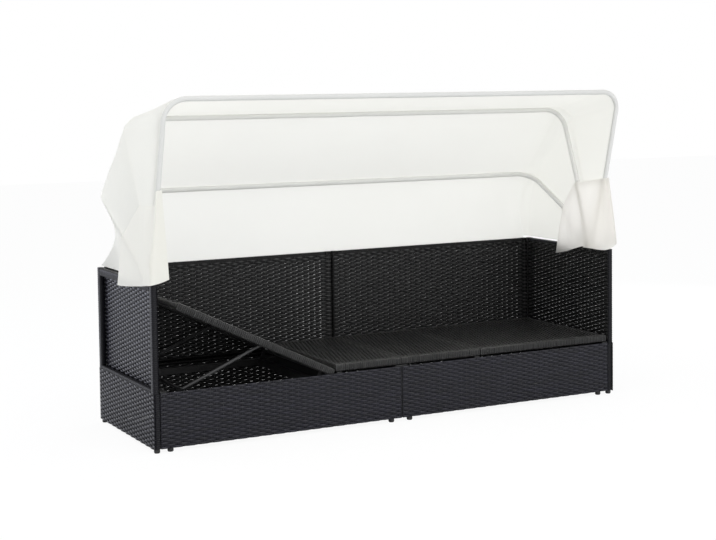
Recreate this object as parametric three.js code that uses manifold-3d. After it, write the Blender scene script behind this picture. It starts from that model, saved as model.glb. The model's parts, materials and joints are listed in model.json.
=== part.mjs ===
// Outdoor daybed: woven sides and back round two low boxes, a seat with two lifting ends,
// and a canopy on three bows that folds back about one bolt at each side.
// Millimetres. +X runs along the bed, +Y to its back, +Z up from the floor.

import * as THREE from "three";
import { mergeVertices } from "three/addons/utils/BufferGeometryUtils.js";
import Module from "manifold-3d";

const wasm = await Module();
wasm.setup();

// Whole bed
const length = 2000;
const depth = 600;
const sideHeight = 600;
const floorGap = 15;
const fit = 0.3;
const overrun = 4;

// Side and back panels
const panelThickness = 25;
const postWidth = 30;
const weaveThickness = 3;
const skinThickness = 3;
const skinTop = 210;

// Base boxes
const baseTube = 25;
const baseRailTop = 190;
const skirtThickness = 4;
const skirtTop = 213;
const seamBearerWidth = 20;
const seamBearerSetback = 5;
const hingeRailSetback = 7;

// Seat
const seatBottom = 218;
const seatThickness = 28;
const seatRail = 28;
const seatWeave = 4;
const seatFrontGap = 1;
const seatBackGap = 5;
const leftSeam = 280;
const rightSeam = 355;
const seamGap = 4;
const lifterEndGap = 5;
const hingeInset = 38;
const leftLiftAngle = 26;
const rightLiftAngle = 0;
const steepestLiftAngle = 45;

// Hinge ears and bolts
const earThickness = 5;
const earRadius = 9.5;
const earNeckAngle = 262;
const hingeBoltRadius = 4;
const hingeBoltReach = 22;
const hingeHeadRadius = 7;
const hingeHeadHeight = 4;

// Prop rods and their toothed rest bars
const propRodRadius = 6;
const propBendRadius = 9;
const propPinReach = 16;
const propHang = 8;
const propPivotShare = 0.438;
const propLengthShare = 0.5525;
const propFoldedAngle = 0.9;
const propRatio = 1.85;
const restWidth = 16;
const restHeight = 22;
const restClearance = 1.5;
const toothDepth = 7;
const firstToothAngle = 12;
const toothCount = 8;

// Feet
const footRadius = 11;
const footSoleRadius = 9;
const footSoleHeight = 3;
const footInset = 40;

// Canopy bows
const bowTube = 16;
const bowWall = 1.5;
const bowBend = 80;
const bowEnd = 14;
const pivotSetback = 221;
const pivotRise = 21;
const frontRadius = 644;
const middleRadius = 586;
const rearRadius = 555;
const frontLeanAngle = -14.6;
const middleLeanAngle = 20.4;
const rearLeanAngle = 61.6;
const stackGap = 2;

// Canopy pivot bracket, bolt and nut
const bracketInset = 1;
const bracketEar = 3;
const bracketPlate = 2.5;
const bracketLength = 80;
const bracketEarWidth = 30;
const pivotBoltRadius = 4;
const pivotHeadRadius = 7.5;
const pivotHeadHeight = 5;
const nutRadius = 7.5;
const nutHeight = 4;

// Canopy cloth
const clothThickness = 2;
const clothGap = 0.4;
const clothSeamGap = 2;
const skirtStart = 260;
const frontRoofSag = 14;
const rearRoofSag = 16;
const backLap = 15;
const backClearance = 3;
const leftNeckIn = 72;
const rightNeckIn = 28;
const sideHemRise = 8;
const sideHemFront = 30;
const flapFold = 7;
const kneeClearance = 4;

// Faces round each curved piece
const tubeSides = 12;
const boreSides = 8;
const rodSides = 8;
const boltSides = 12;
const nutSides = 6;
const bowBendSteps = 5;
const rodBendSteps = 3;

// Finishes
const wrappedFinish = { color: 0x24242a, roughness: 0.55, metalness: 0 };
const weaveFinish = { color: 0x2b2b32, roughness: 0.5, metalness: 0 };
const steelFinish = { color: 0x1b1b1d, roughness: 0.45, metalness: 0.3 };
const bowFinish = { color: 0xe6e4dc, roughness: 0.4, metalness: 0.1 };
const clothFinish = { color: 0xf2f3ee, roughness: 0.9, metalness: 0 };
const footFinish = { color: 0x141416, roughness: 0.7, metalness: 0 };
const boltFinish = { color: 0xb4b6b8, roughness: 0.35, metalness: 0.9 };

// Places worked out from the sizes
const halfLength = length / 2;
const halfDepth = depth / 2;
const innerLength = halfLength - panelThickness;
const innerBack = halfDepth - panelThickness;
const baseFront = -halfDepth + skirtThickness + fit;
const baseBack = innerBack - fit;
const baseEnd = innerLength - fit;
const bearerTop = seatBottom - fit;
const seatFront = -halfDepth + skirtThickness + seatFrontGap;
const seatBack = innerBack - seatBackGap;
const hingeHeight = seatBottom + seatThickness / 2;
const tubeRadius = bowTube / 2;
const pivotHeight = sideHeight + pivotRise;
const stackPitch = bowTube + stackGap;
const rearLegX = halfLength - bracketInset - bracketEar - stackGap - tubeRadius;
const frontLegX = rearLegX - stackPitch;
const middleLegX = frontLegX - stackPitch;
const frontBow = { name: "front_bow", radius: frontRadius, lean: frontLeanAngle, legX: frontLegX };
const middleBow = { name: "middle_bow", radius: middleRadius, lean: middleLeanAngle, legX: middleLegX };
const rearBow = { name: "rear_bow", radius: rearRadius, lean: rearLeanAngle, legX: rearLegX };

const radians = THREE.MathUtils.degToRad;
const daybed = new THREE.Group();

function addPiece(name, geometry, finish, parent = daybed) {
  const piece = new THREE.Mesh(geometry, new THREE.MeshStandardMaterial(finish));
  piece.name = name;
  parent.add(piece);
  return piece;
}

// Turns a closed geometry into a solid that can be cut and joined, and back.
function solidOf(geometry) {
  const bare = geometry.clone();
  bare.deleteAttribute("normal");
  bare.deleteAttribute("uv");
  const merged = mergeVertices(bare);
  const mesh = new wasm.Mesh({
    numProp: 3,
    vertProperties: new Float32Array(merged.attributes.position.array),
    triVerts: new Uint32Array(merged.index.array),
  });
  return new wasm.Manifold(mesh);
}

function geometryOf(solid) {
  const mesh = solid.getMesh();
  const geometry = new THREE.BufferGeometry();
  geometry.setAttribute("position", new THREE.BufferAttribute(mesh.vertProperties, 3));
  geometry.setIndex(new THREE.BufferAttribute(mesh.triVerts, 1));
  const flat = geometry.toNonIndexed();
  flat.computeVertexNormals();
  return flat;
}

function join(geometries) {
  const solids = geometries.map(solidOf);
  return geometryOf(solids.reduce((whole, next) => whole.add(next)));
}

function cut(geometry, cutters) {
  const whole = solidOf(geometry);
  return geometryOf(cutters.map(solidOf).reduce((left, next) => left.subtract(next), whole));
}

// A box between two corners.
function block(low, high) {
  const size = high.map((value, axis) => value - low[axis]);
  const geometry = new THREE.BoxGeometry(...size);
  return geometry.translate(...high.map((value, axis) => (value + low[axis]) / 2));
}

// Shapes are drawn flat: as (Y, Z) for a piece that is thick along X, as (X, Z) along Y.
function thickAlongX(shape, thickness, start) {
  const geometry = new THREE.ExtrudeGeometry(shape, { depth: thickness, bevelEnabled: false });
  const turn = new THREE.Matrix4().makeBasis(
    new THREE.Vector3(0, 1, 0),
    new THREE.Vector3(0, 0, 1),
    new THREE.Vector3(1, 0, 0),
  );
  return geometry.applyMatrix4(turn).translate(start, 0, 0);
}

function thickAlongY(shape, thickness, start) {
  const geometry = new THREE.ExtrudeGeometry(shape, { depth: thickness, bevelEnabled: false });
  return geometry.rotateX(Math.PI / 2).translate(0, start + thickness, 0);
}

// The mirror image across the middle of the bed, with its faces still pointing out.
function mirrored(geometry) {
  const image = geometry.index ? geometry.toNonIndexed() : geometry.clone();
  const places = image.attributes.position;
  const corner = new THREE.Vector3();
  const other = new THREE.Vector3();
  for (let first = 0; first < places.count; first += 3) {
    corner.fromBufferAttribute(places, first);
    other.fromBufferAttribute(places, first + 1);
    places.setXYZ(first, -other.x, other.y, other.z);
    places.setXYZ(first + 1, -corner.x, corner.y, corner.z);
    places.setX(first + 2, -places.getX(first + 2));
  }
  image.computeVertexNormals();
  return image;
}

// Pieces are drawn for the right half, and the left one is the mirror image.
function onSide(geometry, side) {
  return side === "left" ? mirrored(geometry) : geometry;
}

function rectangle(left, right, bottom, top, Kind = THREE.Shape) {
  const outline = new Kind();
  outline.moveTo(left, bottom);
  outline.lineTo(right, bottom);
  outline.lineTo(right, top);
  outline.lineTo(left, top);
  outline.closePath();
  return outline;
}

// A bar of round section along Y or X, as a cutter or a pin.
function roundAlongY(radius, from, to, x, z, sides) {
  const geometry = new THREE.CylinderGeometry(radius, radius, to - from, sides);
  return geometry.translate(x, (from + to) / 2, z);
}

function roundAlongX(radius, from, to, y, z, sides) {
  const geometry = new THREE.CylinderGeometry(radius, radius, to - from, sides);
  return geometry.rotateZ(Math.PI / 2).translate((from + to) / 2, y, z);
}

// The radius at which a faceted hole clears a faceted pin all round.
function holeFor(pinRadius, sides) {
  return (pinRadius + fit) / Math.cos(Math.PI / sides);
}

// A bolt with its head, turned about +Z from the end of its shank.
function boltGeometry(radius, shank, headRadius, headHeight) {
  const profile = [
    new THREE.Vector2(0, 0),
    new THREE.Vector2(radius, 0),
    new THREE.Vector2(radius, shank),
    new THREE.Vector2(headRadius, shank),
    new THREE.Vector2(headRadius, shank + headHeight),
    new THREE.Vector2(0, shank + headHeight),
  ];
  return new THREE.LatheGeometry(profile, boltSides);
}

// Straight runs joined by arcs. A swept section gets a ring only where the path turns.
class BentPath extends THREE.Curve {
  constructor(corners, bend, steps) {
    super();
    this.places = [];
    this.headings = [];
    this.addStation(corners[0], corners[1].clone().sub(corners[0]).normalize());
    for (let index = 1; index < corners.length - 1; index += 1) {
      const arriving = corners[index].clone().sub(corners[index - 1]).normalize();
      const leaving = corners[index + 1].clone().sub(corners[index]).normalize();
      this.addArc(corners[index], arriving, leaving, bend, steps);
    }
    const last = corners.length - 1;
    this.addStation(corners[last], corners[last].clone().sub(corners[last - 1]).normalize());
  }

  addStation(place, heading) {
    this.places.push(place.clone());
    this.headings.push(heading.clone());
  }

  addArc(corner, arriving, leaving, bend, steps) {
    const turn = arriving.angleTo(leaving);
    const inward = leaving.clone().sub(arriving.clone().multiplyScalar(Math.cos(turn))).normalize();
    const start = corner.clone().addScaledVector(arriving, -bend * Math.tan(turn / 2));
    for (let step = 0; step <= steps; step += 1) {
      const angle = (turn * step) / steps;
      const place = start.clone();
      place.addScaledVector(arriving, bend * Math.sin(angle));
      place.addScaledVector(inward, bend * (1 - Math.cos(angle)));
      const heading = arriving.clone().multiplyScalar(Math.cos(angle));
      this.addStation(place, heading.addScaledVector(inward, Math.sin(angle)));
    }
  }

  get runs() {
    return this.places.length - 1;
  }

  getPoint(share) {
    return this.places[Math.round(share * this.runs)].clone();
  }

  getPointAt(share) {
    return this.getPoint(share);
  }

  getTangentAt(share) {
    return this.headings[Math.round(share * this.runs)].clone();
  }
}

function sweep(section, path) {
  return new THREE.ExtrudeGeometry(section, { steps: path.runs, bevelEnabled: false, extrudePath: path });
}

function ring(radius, sides, Kind = THREE.Shape) {
  const outline = new Kind();
  const points = [];
  for (let side = 0; side < sides; side += 1) {
    const angle = (2 * Math.PI * side) / sides;
    points.push(new THREE.Vector2(radius * Math.cos(angle), radius * Math.sin(angle)));
  }
  return outline.setFromPoints(points);
}

// Side panels: a wrapped frame with a mid rail, a set-back woven panel above it, a skin below.
function panelFrame(start, end) {
  const midRailTop = skinTop + postWidth / 2;
  const frame = rectangle(start, end, floorGap, sideHeight);
  const left = start + postWidth;
  const right = end - postWidth;
  const upper = rectangle(left, right, midRailTop, sideHeight - postWidth, THREE.Path);
  const lower = rectangle(left, right, floorGap + postWidth, midRailTop - postWidth, THREE.Path);
  frame.holes.push(upper, lower);
  return frame;
}

function upperWeaveShape(start, end) {
  const low = skinTop + postWidth / 2 + fit;
  const high = sideHeight - postWidth - fit;
  return rectangle(start + postWidth + fit, end - postWidth - fit, low, high);
}

function addSidePanel(side) {
  const frame = thickAlongX(panelFrame(-halfDepth, halfDepth), panelThickness, innerLength);
  const recess = block(
    [halfLength - skinThickness - fit, -halfDepth - overrun, floorGap - overrun],
    [halfLength + overrun, halfDepth + overrun, skinTop + fit],
  );
  addPiece(`${side}_side_frame`, onSide(cut(frame, [recess]), side), wrappedFinish);
  const upper = thickAlongX(upperWeaveShape(-halfDepth, halfDepth), weaveThickness, innerLength);
  addPiece(`${side}_side_upper_weave`, onSide(upper, side), weaveFinish);
  const skin = block(
    [halfLength - skinThickness, -halfDepth, floorGap],
    [halfLength, halfDepth, skinTop],
  );
  addPiece(`${side}_side_lower_weave`, onSide(skin, side), weaveFinish);
}

// Back panels: the same build, side by side between the side panels.
function addBackPanel(side) {
  const start = fit / 2;
  const frame = thickAlongY(panelFrame(start, innerLength - fit), panelThickness, innerBack);
  const recess = block(
    [-overrun, halfDepth - skinThickness - fit, floorGap - overrun],
    [innerLength + overrun, halfDepth + overrun, skinTop + fit],
  );
  addPiece(`${side}_back_frame`, onSide(cut(frame, [recess]), side), wrappedFinish);
  const upper = thickAlongY(upperWeaveShape(start, innerLength - fit), weaveThickness, innerBack);
  addPiece(`${side}_back_upper_weave`, onSide(upper, side), weaveFinish);
  const skin = block(
    [start, halfDepth - skinThickness, floorGap],
    [innerLength - fit, halfDepth, skinTop],
  );
  addPiece(`${side}_back_lower_weave`, onSide(skin, side), weaveFinish);
}

// Base boxes: posts, bottom and top rails, bearers for the seat, and ears for the lifter's hinge.
function earShape(hingeAt) {
  const shape = new THREE.Shape();
  shape.moveTo(hingeAt + hingeRailSetback + baseTube, baseRailTop - overrun);
  shape.lineTo(hingeAt + earRadius, hingeHeight);
  shape.absarc(hingeAt, hingeHeight, earRadius, 0, radians(earNeckAngle), false);
  shape.lineTo(hingeAt + hingeRailSetback, hingeHeight - 2 * earRadius);
  shape.lineTo(hingeAt + hingeRailSetback, baseRailTop - overrun);
  shape.closePath();
  return shape;
}

function baseRails(low, high) {
  const front = block([fit / 2, baseFront, low], [baseEnd, baseFront + baseTube, high]);
  const back = block([fit / 2, baseBack - baseTube, low], [baseEnd, baseBack, high]);
  return [front, back];
}

function crossRail(start, width, low, high) {
  return block([start, baseFront, low], [start + width, baseBack, high]);
}

function baseGeometry(seam) {
  const hingeAt = seam + seamGap + hingeInset;
  const railBottom = baseRailTop - baseTube;
  const postTop = baseRailTop;
  const postStarts = [fit / 2, baseEnd - baseTube];
  const rows = [baseFront, baseBack - baseTube];
  const posts = postStarts.flatMap((x) =>
    rows.map((y) => block([x, y, floorGap], [x + baseTube, y + baseTube, postTop])),
  );
  const seamBearer = seam - seamBearerSetback - seamBearerWidth;
  const frame = [
    ...posts,
    ...baseRails(floorGap, floorGap + baseTube),
    ...baseRails(railBottom, baseRailTop),
    crossRail(fit / 2, baseTube, floorGap, floorGap + baseTube),
    crossRail(baseEnd - baseTube, baseTube, floorGap, floorGap + baseTube),
    crossRail(fit / 2, baseTube, railBottom, bearerTop),
    crossRail(seamBearer, seamBearerWidth, railBottom, bearerTop),
    crossRail(baseEnd - baseTube, baseTube, railBottom, bearerTop),
    crossRail(hingeAt + hingeRailSetback, baseTube, railBottom, baseRailTop),
  ];
  const earStarts = [seatFront + seatRail + fit, seatBack - seatRail - fit - earThickness];
  const ears = earStarts.map((y) => thickAlongY(earShape(hingeAt), earThickness, y));
  const bore = roundAlongY(
    holeFor(hingeBoltRadius, boltSides), seatFront, seatBack, hingeAt, hingeHeight, boltSides,
  );
  return cut(join([...frame, ...ears]), [bore]);
}

function addBaseBox(side, seam) {
  addPiece(`${side}_base_frame`, onSide(baseGeometry(seam), side), steelFinish);
  const skirt = block(
    [fit / 2, -halfDepth, floorGap],
    [baseEnd, -halfDepth + skirtThickness, skirtTop],
  );
  addPiece(`${side}_front_skirt`, onSide(skirt, side), weaveFinish);
}

// Seat panels: a ring of wrapped rails round a woven sheet that is flush with its top.
function seatRing(start, end) {
  const outline = rectangle(start, end, seatFront, seatBack);
  const inside = rectangle(
    start + seatRail, end - seatRail, seatFront + seatRail, seatBack - seatRail, THREE.Path,
  );
  outline.holes.push(inside);
  return new THREE.ExtrudeGeometry(outline, { depth: seatThickness, bevelEnabled: false });
}

function seatSheet(start, end) {
  return block(
    [start + seatRail + fit, seatFront + seatRail + fit, seatThickness - seatWeave],
    [end - seatRail - fit, seatBack - seatRail - fit, seatThickness],
  );
}

function addFixedSeat(side, seam) {
  const place = (geometry) => onSide(geometry.translate(0, 0, seatBottom), side);
  addPiece(`${side}_fixed_seat_frame`, place(seatRing(fit / 2, seam)), wrappedFinish);
  addPiece(`${side}_fixed_seat_weave`, place(seatSheet(fit / 2, seam)), weaveFinish);
}

// Lifting seat ends, drawn from their hinge axis outward and turned about it.
function lifterSizes(seam) {
  const hingeAt = seam + seamGap + hingeInset;
  const reach = innerLength - lifterEndGap - hingeAt;
  const room = reach - seatRail - propRodRadius;
  return { hingeAt, reach, pivot: room * propPivotShare, propLength: room * propLengthShare };
}

function lifterRingGeometry(sizes) {
  const bored = seatRing(-hingeInset, sizes.reach).translate(0, 0, -seatThickness / 2);
  const boltHole = holeFor(hingeBoltRadius, boltSides);
  const pinHole = holeFor(propRodRadius, rodSides);
  const frontFace = seatFront + seatRail;
  const backFace = seatBack - seatRail;
  const holes = [
    roundAlongY(boltHole, frontFace - hingeBoltReach - fit, frontFace + overrun, 0, 0, boltSides),
    roundAlongY(boltHole, backFace - overrun, backFace + hingeBoltReach + fit, 0, 0, boltSides),
    roundAlongY(
      pinHole, frontFace - propPinReach - fit, frontFace + overrun, sizes.pivot, -propHang, rodSides,
    ),
    roundAlongY(
      pinHole, backFace - overrun, backFace + propPinReach + fit, sizes.pivot, -propHang, rodSides,
    ),
  ];
  return cut(bored, holes);
}

// The prop rod, drawn flat with its pins at its own origin and its foot along +X.
function propGeometry(sizes) {
  const front = seatFront + seatRail;
  const back = seatBack - seatRail;
  const legGap = propBendRadius + fit;
  const corners = [
    new THREE.Vector3(0, front - propPinReach, 0),
    new THREE.Vector3(0, front + legGap, 0),
    new THREE.Vector3(sizes.propLength, front + legGap, 0),
    new THREE.Vector3(sizes.propLength, back - legGap, 0),
    new THREE.Vector3(0, back - legGap, 0),
    new THREE.Vector3(0, back + propPinReach, 0),
  ];
  return sweep(ring(propRodRadius, rodSides), new BentPath(corners, propBendRadius, rodBendSteps));
}

// Where the prop's foot is, outward from the middle of the bed, with the lifter raised by an angle.
function footPlace(sizes, lift) {
  const raised = radians(lift);
  const fallen = radians(propFoldedAngle + lift * propRatio - lift);
  const outward = sizes.pivot * Math.cos(raised) + propHang * Math.sin(raised);
  const upward = sizes.pivot * Math.sin(raised) - propHang * Math.cos(raised);
  return new THREE.Vector2(
    sizes.hingeAt + outward + sizes.propLength * Math.cos(fallen),
    hingeHeight + upward - sizes.propLength * Math.sin(fallen),
  );
}

// Toothed bar: its teeth follow the path of the prop's foot, a little under it.
function restShape(sizes) {
  const drop = propRodRadius + restClearance;
  const step = (steepestLiftAngle - firstToothAngle) / toothCount;
  const outerEnd = footPlace(sizes, firstToothAngle);
  const innerEnd = footPlace(sizes, steepestLiftAngle);
  const bottom = innerEnd.y - drop - restHeight;
  const shape = new THREE.Shape();
  shape.moveTo(innerEnd.x - propRodRadius, bottom);
  shape.lineTo(outerEnd.x, bottom);
  for (let tooth = 0; tooth < toothCount; tooth += 1) {
    const lift = firstToothAngle + step * tooth;
    const tip = footPlace(sizes, lift);
    const notch = footPlace(sizes, lift + step / 2);
    shape.lineTo(tip.x, tip.y - drop);
    shape.lineTo(notch.x, notch.y - drop - toothDepth);
  }
  shape.lineTo(innerEnd.x, innerEnd.y - drop);
  shape.lineTo(innerEnd.x - propRodRadius, innerEnd.y - drop);
  shape.closePath();
  return shape;
}

function addLifter(side, seam, lift) {
  const sizes = lifterSizes(seam);
  const sign = side === "left" ? 1 : -1;
  const hinge = new THREE.Group();
  hinge.position.set(-sign * sizes.hingeAt, 0, hingeHeight);
  hinge.rotation.y = sign * radians(lift);
  daybed.add(hinge);
  addPiece(`${side}_lifter_frame`, onSide(lifterRingGeometry(sizes), side), wrappedFinish, hinge);
  const sheet = seatSheet(-hingeInset, sizes.reach).translate(0, 0, -seatThickness / 2);
  addPiece(`${side}_lifter_weave`, onSide(sheet, side), weaveFinish, hinge);
  const prop = addPiece(`${side}_prop_rod`, onSide(propGeometry(sizes), side), steelFinish, hinge);
  prop.position.set(-sign * sizes.pivot, 0, -propHang);
  prop.rotation.y = -sign * radians(propFoldedAngle + lift * propRatio);
}

function addHingeBolts(side, seam) {
  const sizes = lifterSizes(seam);
  const shank = hingeBoltReach + earThickness + 2 * fit;
  const frontTip = seatFront + seatRail - hingeBoltReach;
  const backTip = seatBack - seatRail + hingeBoltReach;
  const bolt = boltGeometry(hingeBoltRadius, shank, hingeHeadRadius, hingeHeadHeight);
  const front = bolt.clone().translate(sizes.hingeAt, frontTip, hingeHeight);
  const back = bolt.clone().rotateX(Math.PI).translate(sizes.hingeAt, backTip, hingeHeight);
  addPiece(`${side}_front_hinge_bolt`, onSide(front, side), boltFinish);
  addPiece(`${side}_back_hinge_bolt`, onSide(back, side), boltFinish);
}

function addRestBars(side, seam) {
  const shape = restShape(lifterSizes(seam));
  const frontStart = baseFront + baseTube + fit;
  const backStart = baseBack - baseTube - fit - restWidth;
  const front = thickAlongY(shape, restWidth, frontStart);
  const back = thickAlongY(shape, restWidth, backStart);
  addPiece(`${side}_front_rest_bar`, onSide(front, side), steelFinish);
  addPiece(`${side}_back_rest_bar`, onSide(back, side), steelFinish);
}

// Feet under the base boxes and the side panels.
function footGeometry() {
  const top = floorGap - fit;
  const profile = [
    new THREE.Vector2(0, 0),
    new THREE.Vector2(footSoleRadius, 0),
    new THREE.Vector2(footRadius, footSoleHeight),
    new THREE.Vector2(footRadius, top),
    new THREE.Vector2(0, top),
  ];
  return new THREE.LatheGeometry(profile, boltSides).rotateX(Math.PI / 2);
}

function addFeet(side) {
  const sign = side === "left" ? -1 : 1;
  const columns = { inner: footInset, outer: innerLength - footInset };
  const rows = { front: baseFront + baseTube / 2, back: baseBack - baseTube / 2 };
  for (const [column, x] of Object.entries(columns)) {
    for (const [row, y] of Object.entries(rows)) {
      addPiece(`${side}_${column}_${row}_foot`, footGeometry(), footFinish).position.set(sign * x, y, 0);
    }
  }
  const postRows = { front: -halfDepth + postWidth / 2, back: halfDepth - postWidth / 2 };
  const postX = sign * (halfLength - skinThickness - footRadius);
  for (const [row, y] of Object.entries(postRows)) {
    addPiece(`${side}_side_${row}_glide`, footGeometry(), footFinish).position.set(postX, y, 0);
  }
}

// Canopy bows: hollow tube, each in its own plane with the pivot bolt at its origin.
function bowGeometry(bow) {
  const corners = [
    new THREE.Vector3(-bow.legX, 0, -bowEnd),
    new THREE.Vector3(-bow.legX, 0, bow.radius),
    new THREE.Vector3(bow.legX, 0, bow.radius),
    new THREE.Vector3(bow.legX, 0, -bowEnd),
  ];
  const section = ring(tubeRadius, tubeSides);
  section.holes.push(ring(tubeRadius - bowWall, boreSides, THREE.Path));
  const tube = sweep(section, new BentPath(corners, bowBend, bowBendSteps));
  const hole = holeFor(pivotBoltRadius, boltSides);
  const wide = bow.legX + bowTube;
  return cut(tube, [roundAlongX(hole, -wide, wide, 0, 0, boltSides)]);
}

function addBow(bow) {
  const piece = addPiece(bow.name, bowGeometry(bow), bowFinish);
  piece.position.set(0, -pivotSetback, pivotHeight);
  piece.rotation.x = -radians(bow.lean);
}

// Pivot bracket on the side panel's top rail: a plate with two ears, and the bolt through them.
const bracketOuter = halfLength - bracketInset;
const bracketInner = middleLegX - tubeRadius - stackGap - bracketEar;

function bracketEarShape() {
  const half = bracketEarWidth / 2;
  const shape = new THREE.Shape();
  shape.moveTo(-half - pivotSetback, sideHeight + fit);
  shape.lineTo(half - pivotSetback, sideHeight + fit);
  shape.lineTo(half - pivotSetback, pivotHeight);
  shape.absarc(-pivotSetback, pivotHeight, half, 0, Math.PI, false);
  shape.closePath();
  return shape;
}

function addBracket(side) {
  const plate = block(
    [bracketInner, -pivotSetback - bracketLength / 2, sideHeight + fit],
    [bracketOuter, -pivotSetback + bracketLength / 2, sideHeight + fit + bracketPlate],
  );
  const outerEar = thickAlongX(bracketEarShape(), bracketEar, bracketOuter - bracketEar);
  const innerEar = thickAlongX(bracketEarShape(), bracketEar, bracketInner);
  const hole = roundAlongX(
    holeFor(pivotBoltRadius, boltSides),
    bracketInner - overrun, bracketOuter + overrun, -pivotSetback, pivotHeight, boltSides,
  );
  const bracket = cut(join([plate, outerEar, innerEar]), [hole]);
  addPiece(`${side}_pivot_bracket`, onSide(bracket, side), bowFinish);
}

function addPivotBolt(side) {
  const tip = bracketOuter + fit + nutHeight;
  const shank = tip - bracketInner + fit;
  const bolt = boltGeometry(pivotBoltRadius, shank, pivotHeadRadius, pivotHeadHeight);
  const placed = bolt.rotateZ(Math.PI / 2).translate(tip, -pivotSetback, pivotHeight);
  addPiece(`${side}_pivot_bolt`, onSide(placed, side), boltFinish);
  const nut = roundAlongX(
    nutRadius, bracketOuter + fit, bracketOuter + fit + nutHeight, -pivotSetback, pivotHeight, nutSides,
  );
  const bore = roundAlongX(
    holeFor(pivotBoltRadius, boltSides),
    bracketOuter - overrun, tip + overrun, -pivotSetback, pivotHeight, boltSides,
  );
  addPiece(`${side}_pivot_nut`, onSide(cut(nut, [bore]), side), boltFinish);
}

// Canopy cloth. Each sheet is a thin closed solid laid over a surface that is given by a
// function of the column and the row, so its outer side follows the surface's normal.
function clothSolid(columns, rows, surface) {
  const geometry = new THREE.BoxGeometry(1, 1, 1, columns, rows, 1);
  geometry.deleteAttribute("normal");
  geometry.deleteAttribute("uv");
  const places = geometry.attributes.position;
  for (let index = 0; index < places.count; index += 1) {
    const column = Math.round((places.getX(index) + 1 / 2) * columns);
    const row = Math.round((places.getY(index) + 1 / 2) * rows);
    const outer = places.getZ(index) > 0 ? clothThickness : 0;
    const { place, normal, lift } = surface(column, row);
    place.addScaledVector(normal, lift + outer);
    places.setXYZ(index, place.x, place.y, place.z);
  }
  const flat = mergeVertices(geometry).toNonIndexed();
  flat.computeVertexNormals();
  return flat;
}

// The normal of a surface at a grid point, from its neighbours.
function normalAt(point, column, row, columns, rows) {
  const left = point(Math.max(column - 1, 0), row);
  const right = point(Math.min(column + 1, columns), row);
  const above = point(column, Math.max(row - 1, 0));
  const below = point(column, Math.min(row + 1, rows));
  return right.sub(left).cross(below.sub(above)).normalize();
}

// Stations round a bow, from the left leg over the bar to the right leg.
const legRuns = 3;
const barRuns = 10;
const roofRows = 6;

function bowStations(bow) {
  const bendStart = bow.radius - bowBend;
  const halfBar = bow.legX - bowBend;
  const stations = [];
  for (let run = 0; run < legRuns; run += 1) {
    stations.push([-bow.legX, THREE.MathUtils.lerp(skirtStart, bendStart, run / legRuns)]);
  }
  for (let step = 0; step <= bowBendSteps; step += 1) {
    const angle = (Math.PI / 2) * (step / bowBendSteps);
    stations.push([-halfBar - bowBend * Math.cos(angle), bendStart + bowBend * Math.sin(angle)]);
  }
  for (let run = 1; run < barRuns / 2; run += 1) {
    stations.push([THREE.MathUtils.lerp(-halfBar, 0, (2 * run) / barRuns), bow.radius]);
  }
  const rest = [...stations].reverse().map(([x, radius]) => [-x, radius]);
  const middle = [[0, bow.radius]];
  return [...stations, ...middle, ...rest].map(([x, radius]) => onBow(bow, x, radius));
}

// A point of a bow's plane, in the bed's own frame.
function onBow(bow, x, radius) {
  const lean = radians(bow.lean);
  return new THREE.Vector3(
    x, -pivotSetback + radius * Math.sin(lean), pivotHeight + radius * Math.cos(lean),
  );
}

const clothLift = tubeRadius + clothGap;

// A roof bay between two bows, drawn tight at the bows and sagging a little between them.
function roofBay(ahead, behind, sag) {
  const first = bowStations(ahead);
  const second = bowStations(behind);
  const columns = first.length - 1;
  const taut = (column, row) => {
    const margin = clothSeamGap / first[column].distanceTo(second[column]);
    const across = THREE.MathUtils.lerp(margin, 1 - margin, row / roofRows);
    return first[column].clone().lerp(second[column], across);
  };
  const slack = (column, row) => {
    const place = taut(column, row);
    const along = column / columns;
    const hollow = Math.sin(Math.PI * along) * Math.sin((Math.PI * row) / roofRows);
    return place.addScaledVector(normalAt(taut, column, row, columns, roofRows), -sag * hollow);
  };
  return clothSolid(columns, roofRows, (column, row) => ({
    place: slack(column, row),
    normal: normalAt(slack, column, row, columns, roofRows),
    lift: clothLift,
  }));
}

// The back sheet hangs from the rear bow to the back panel, and its skirts along the sides.
// Between the bow's corner and the hem its upright edges are drawn in.
function backHem(columns) {
  const points = [];
  const backY = halfDepth + backClearance;
  const backHemZ = sideHeight - backLap;
  const sideX = halfLength - panelThickness / 2;
  const cornerSteps = bowBendSteps;
  const cornerRadius = panelThickness;
  for (let run = 0; run < legRuns; run += 1) {
    const y = THREE.MathUtils.lerp(sideHemFront, backY - cornerRadius, run / legRuns);
    points.push(new THREE.Vector3(-sideX, y, sideHeight + sideHemRise));
  }
  for (let step = 0; step <= cornerSteps; step += 1) {
    const angle = (Math.PI / 2) * (step / cornerSteps);
    const x = -sideX + cornerRadius * (1 - Math.cos(angle));
    const y = backY - cornerRadius * (1 - Math.sin(angle));
    const z = step < cornerSteps ? sideHeight + sideHemRise : backHemZ;
    points.push(new THREE.Vector3(x, y, z));
  }
  const left = points[points.length - 1];
  const half = columns / 2;
  while (points.length <= half) {
    const share = (points.length - legRuns - cornerSteps) / (half - legRuns - cornerSteps);
    points.push(new THREE.Vector3(left.x * (1 - share), left.y, left.z));
  }
  const flipped = (point) => new THREE.Vector3(-point.x, point.y, point.z);
  return [...points, ...points.slice(0, half).reverse().map(flipped)];
}

const backRows = 8;
const neckLowShare = 0.55;
const neckColumns = 7;

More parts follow.
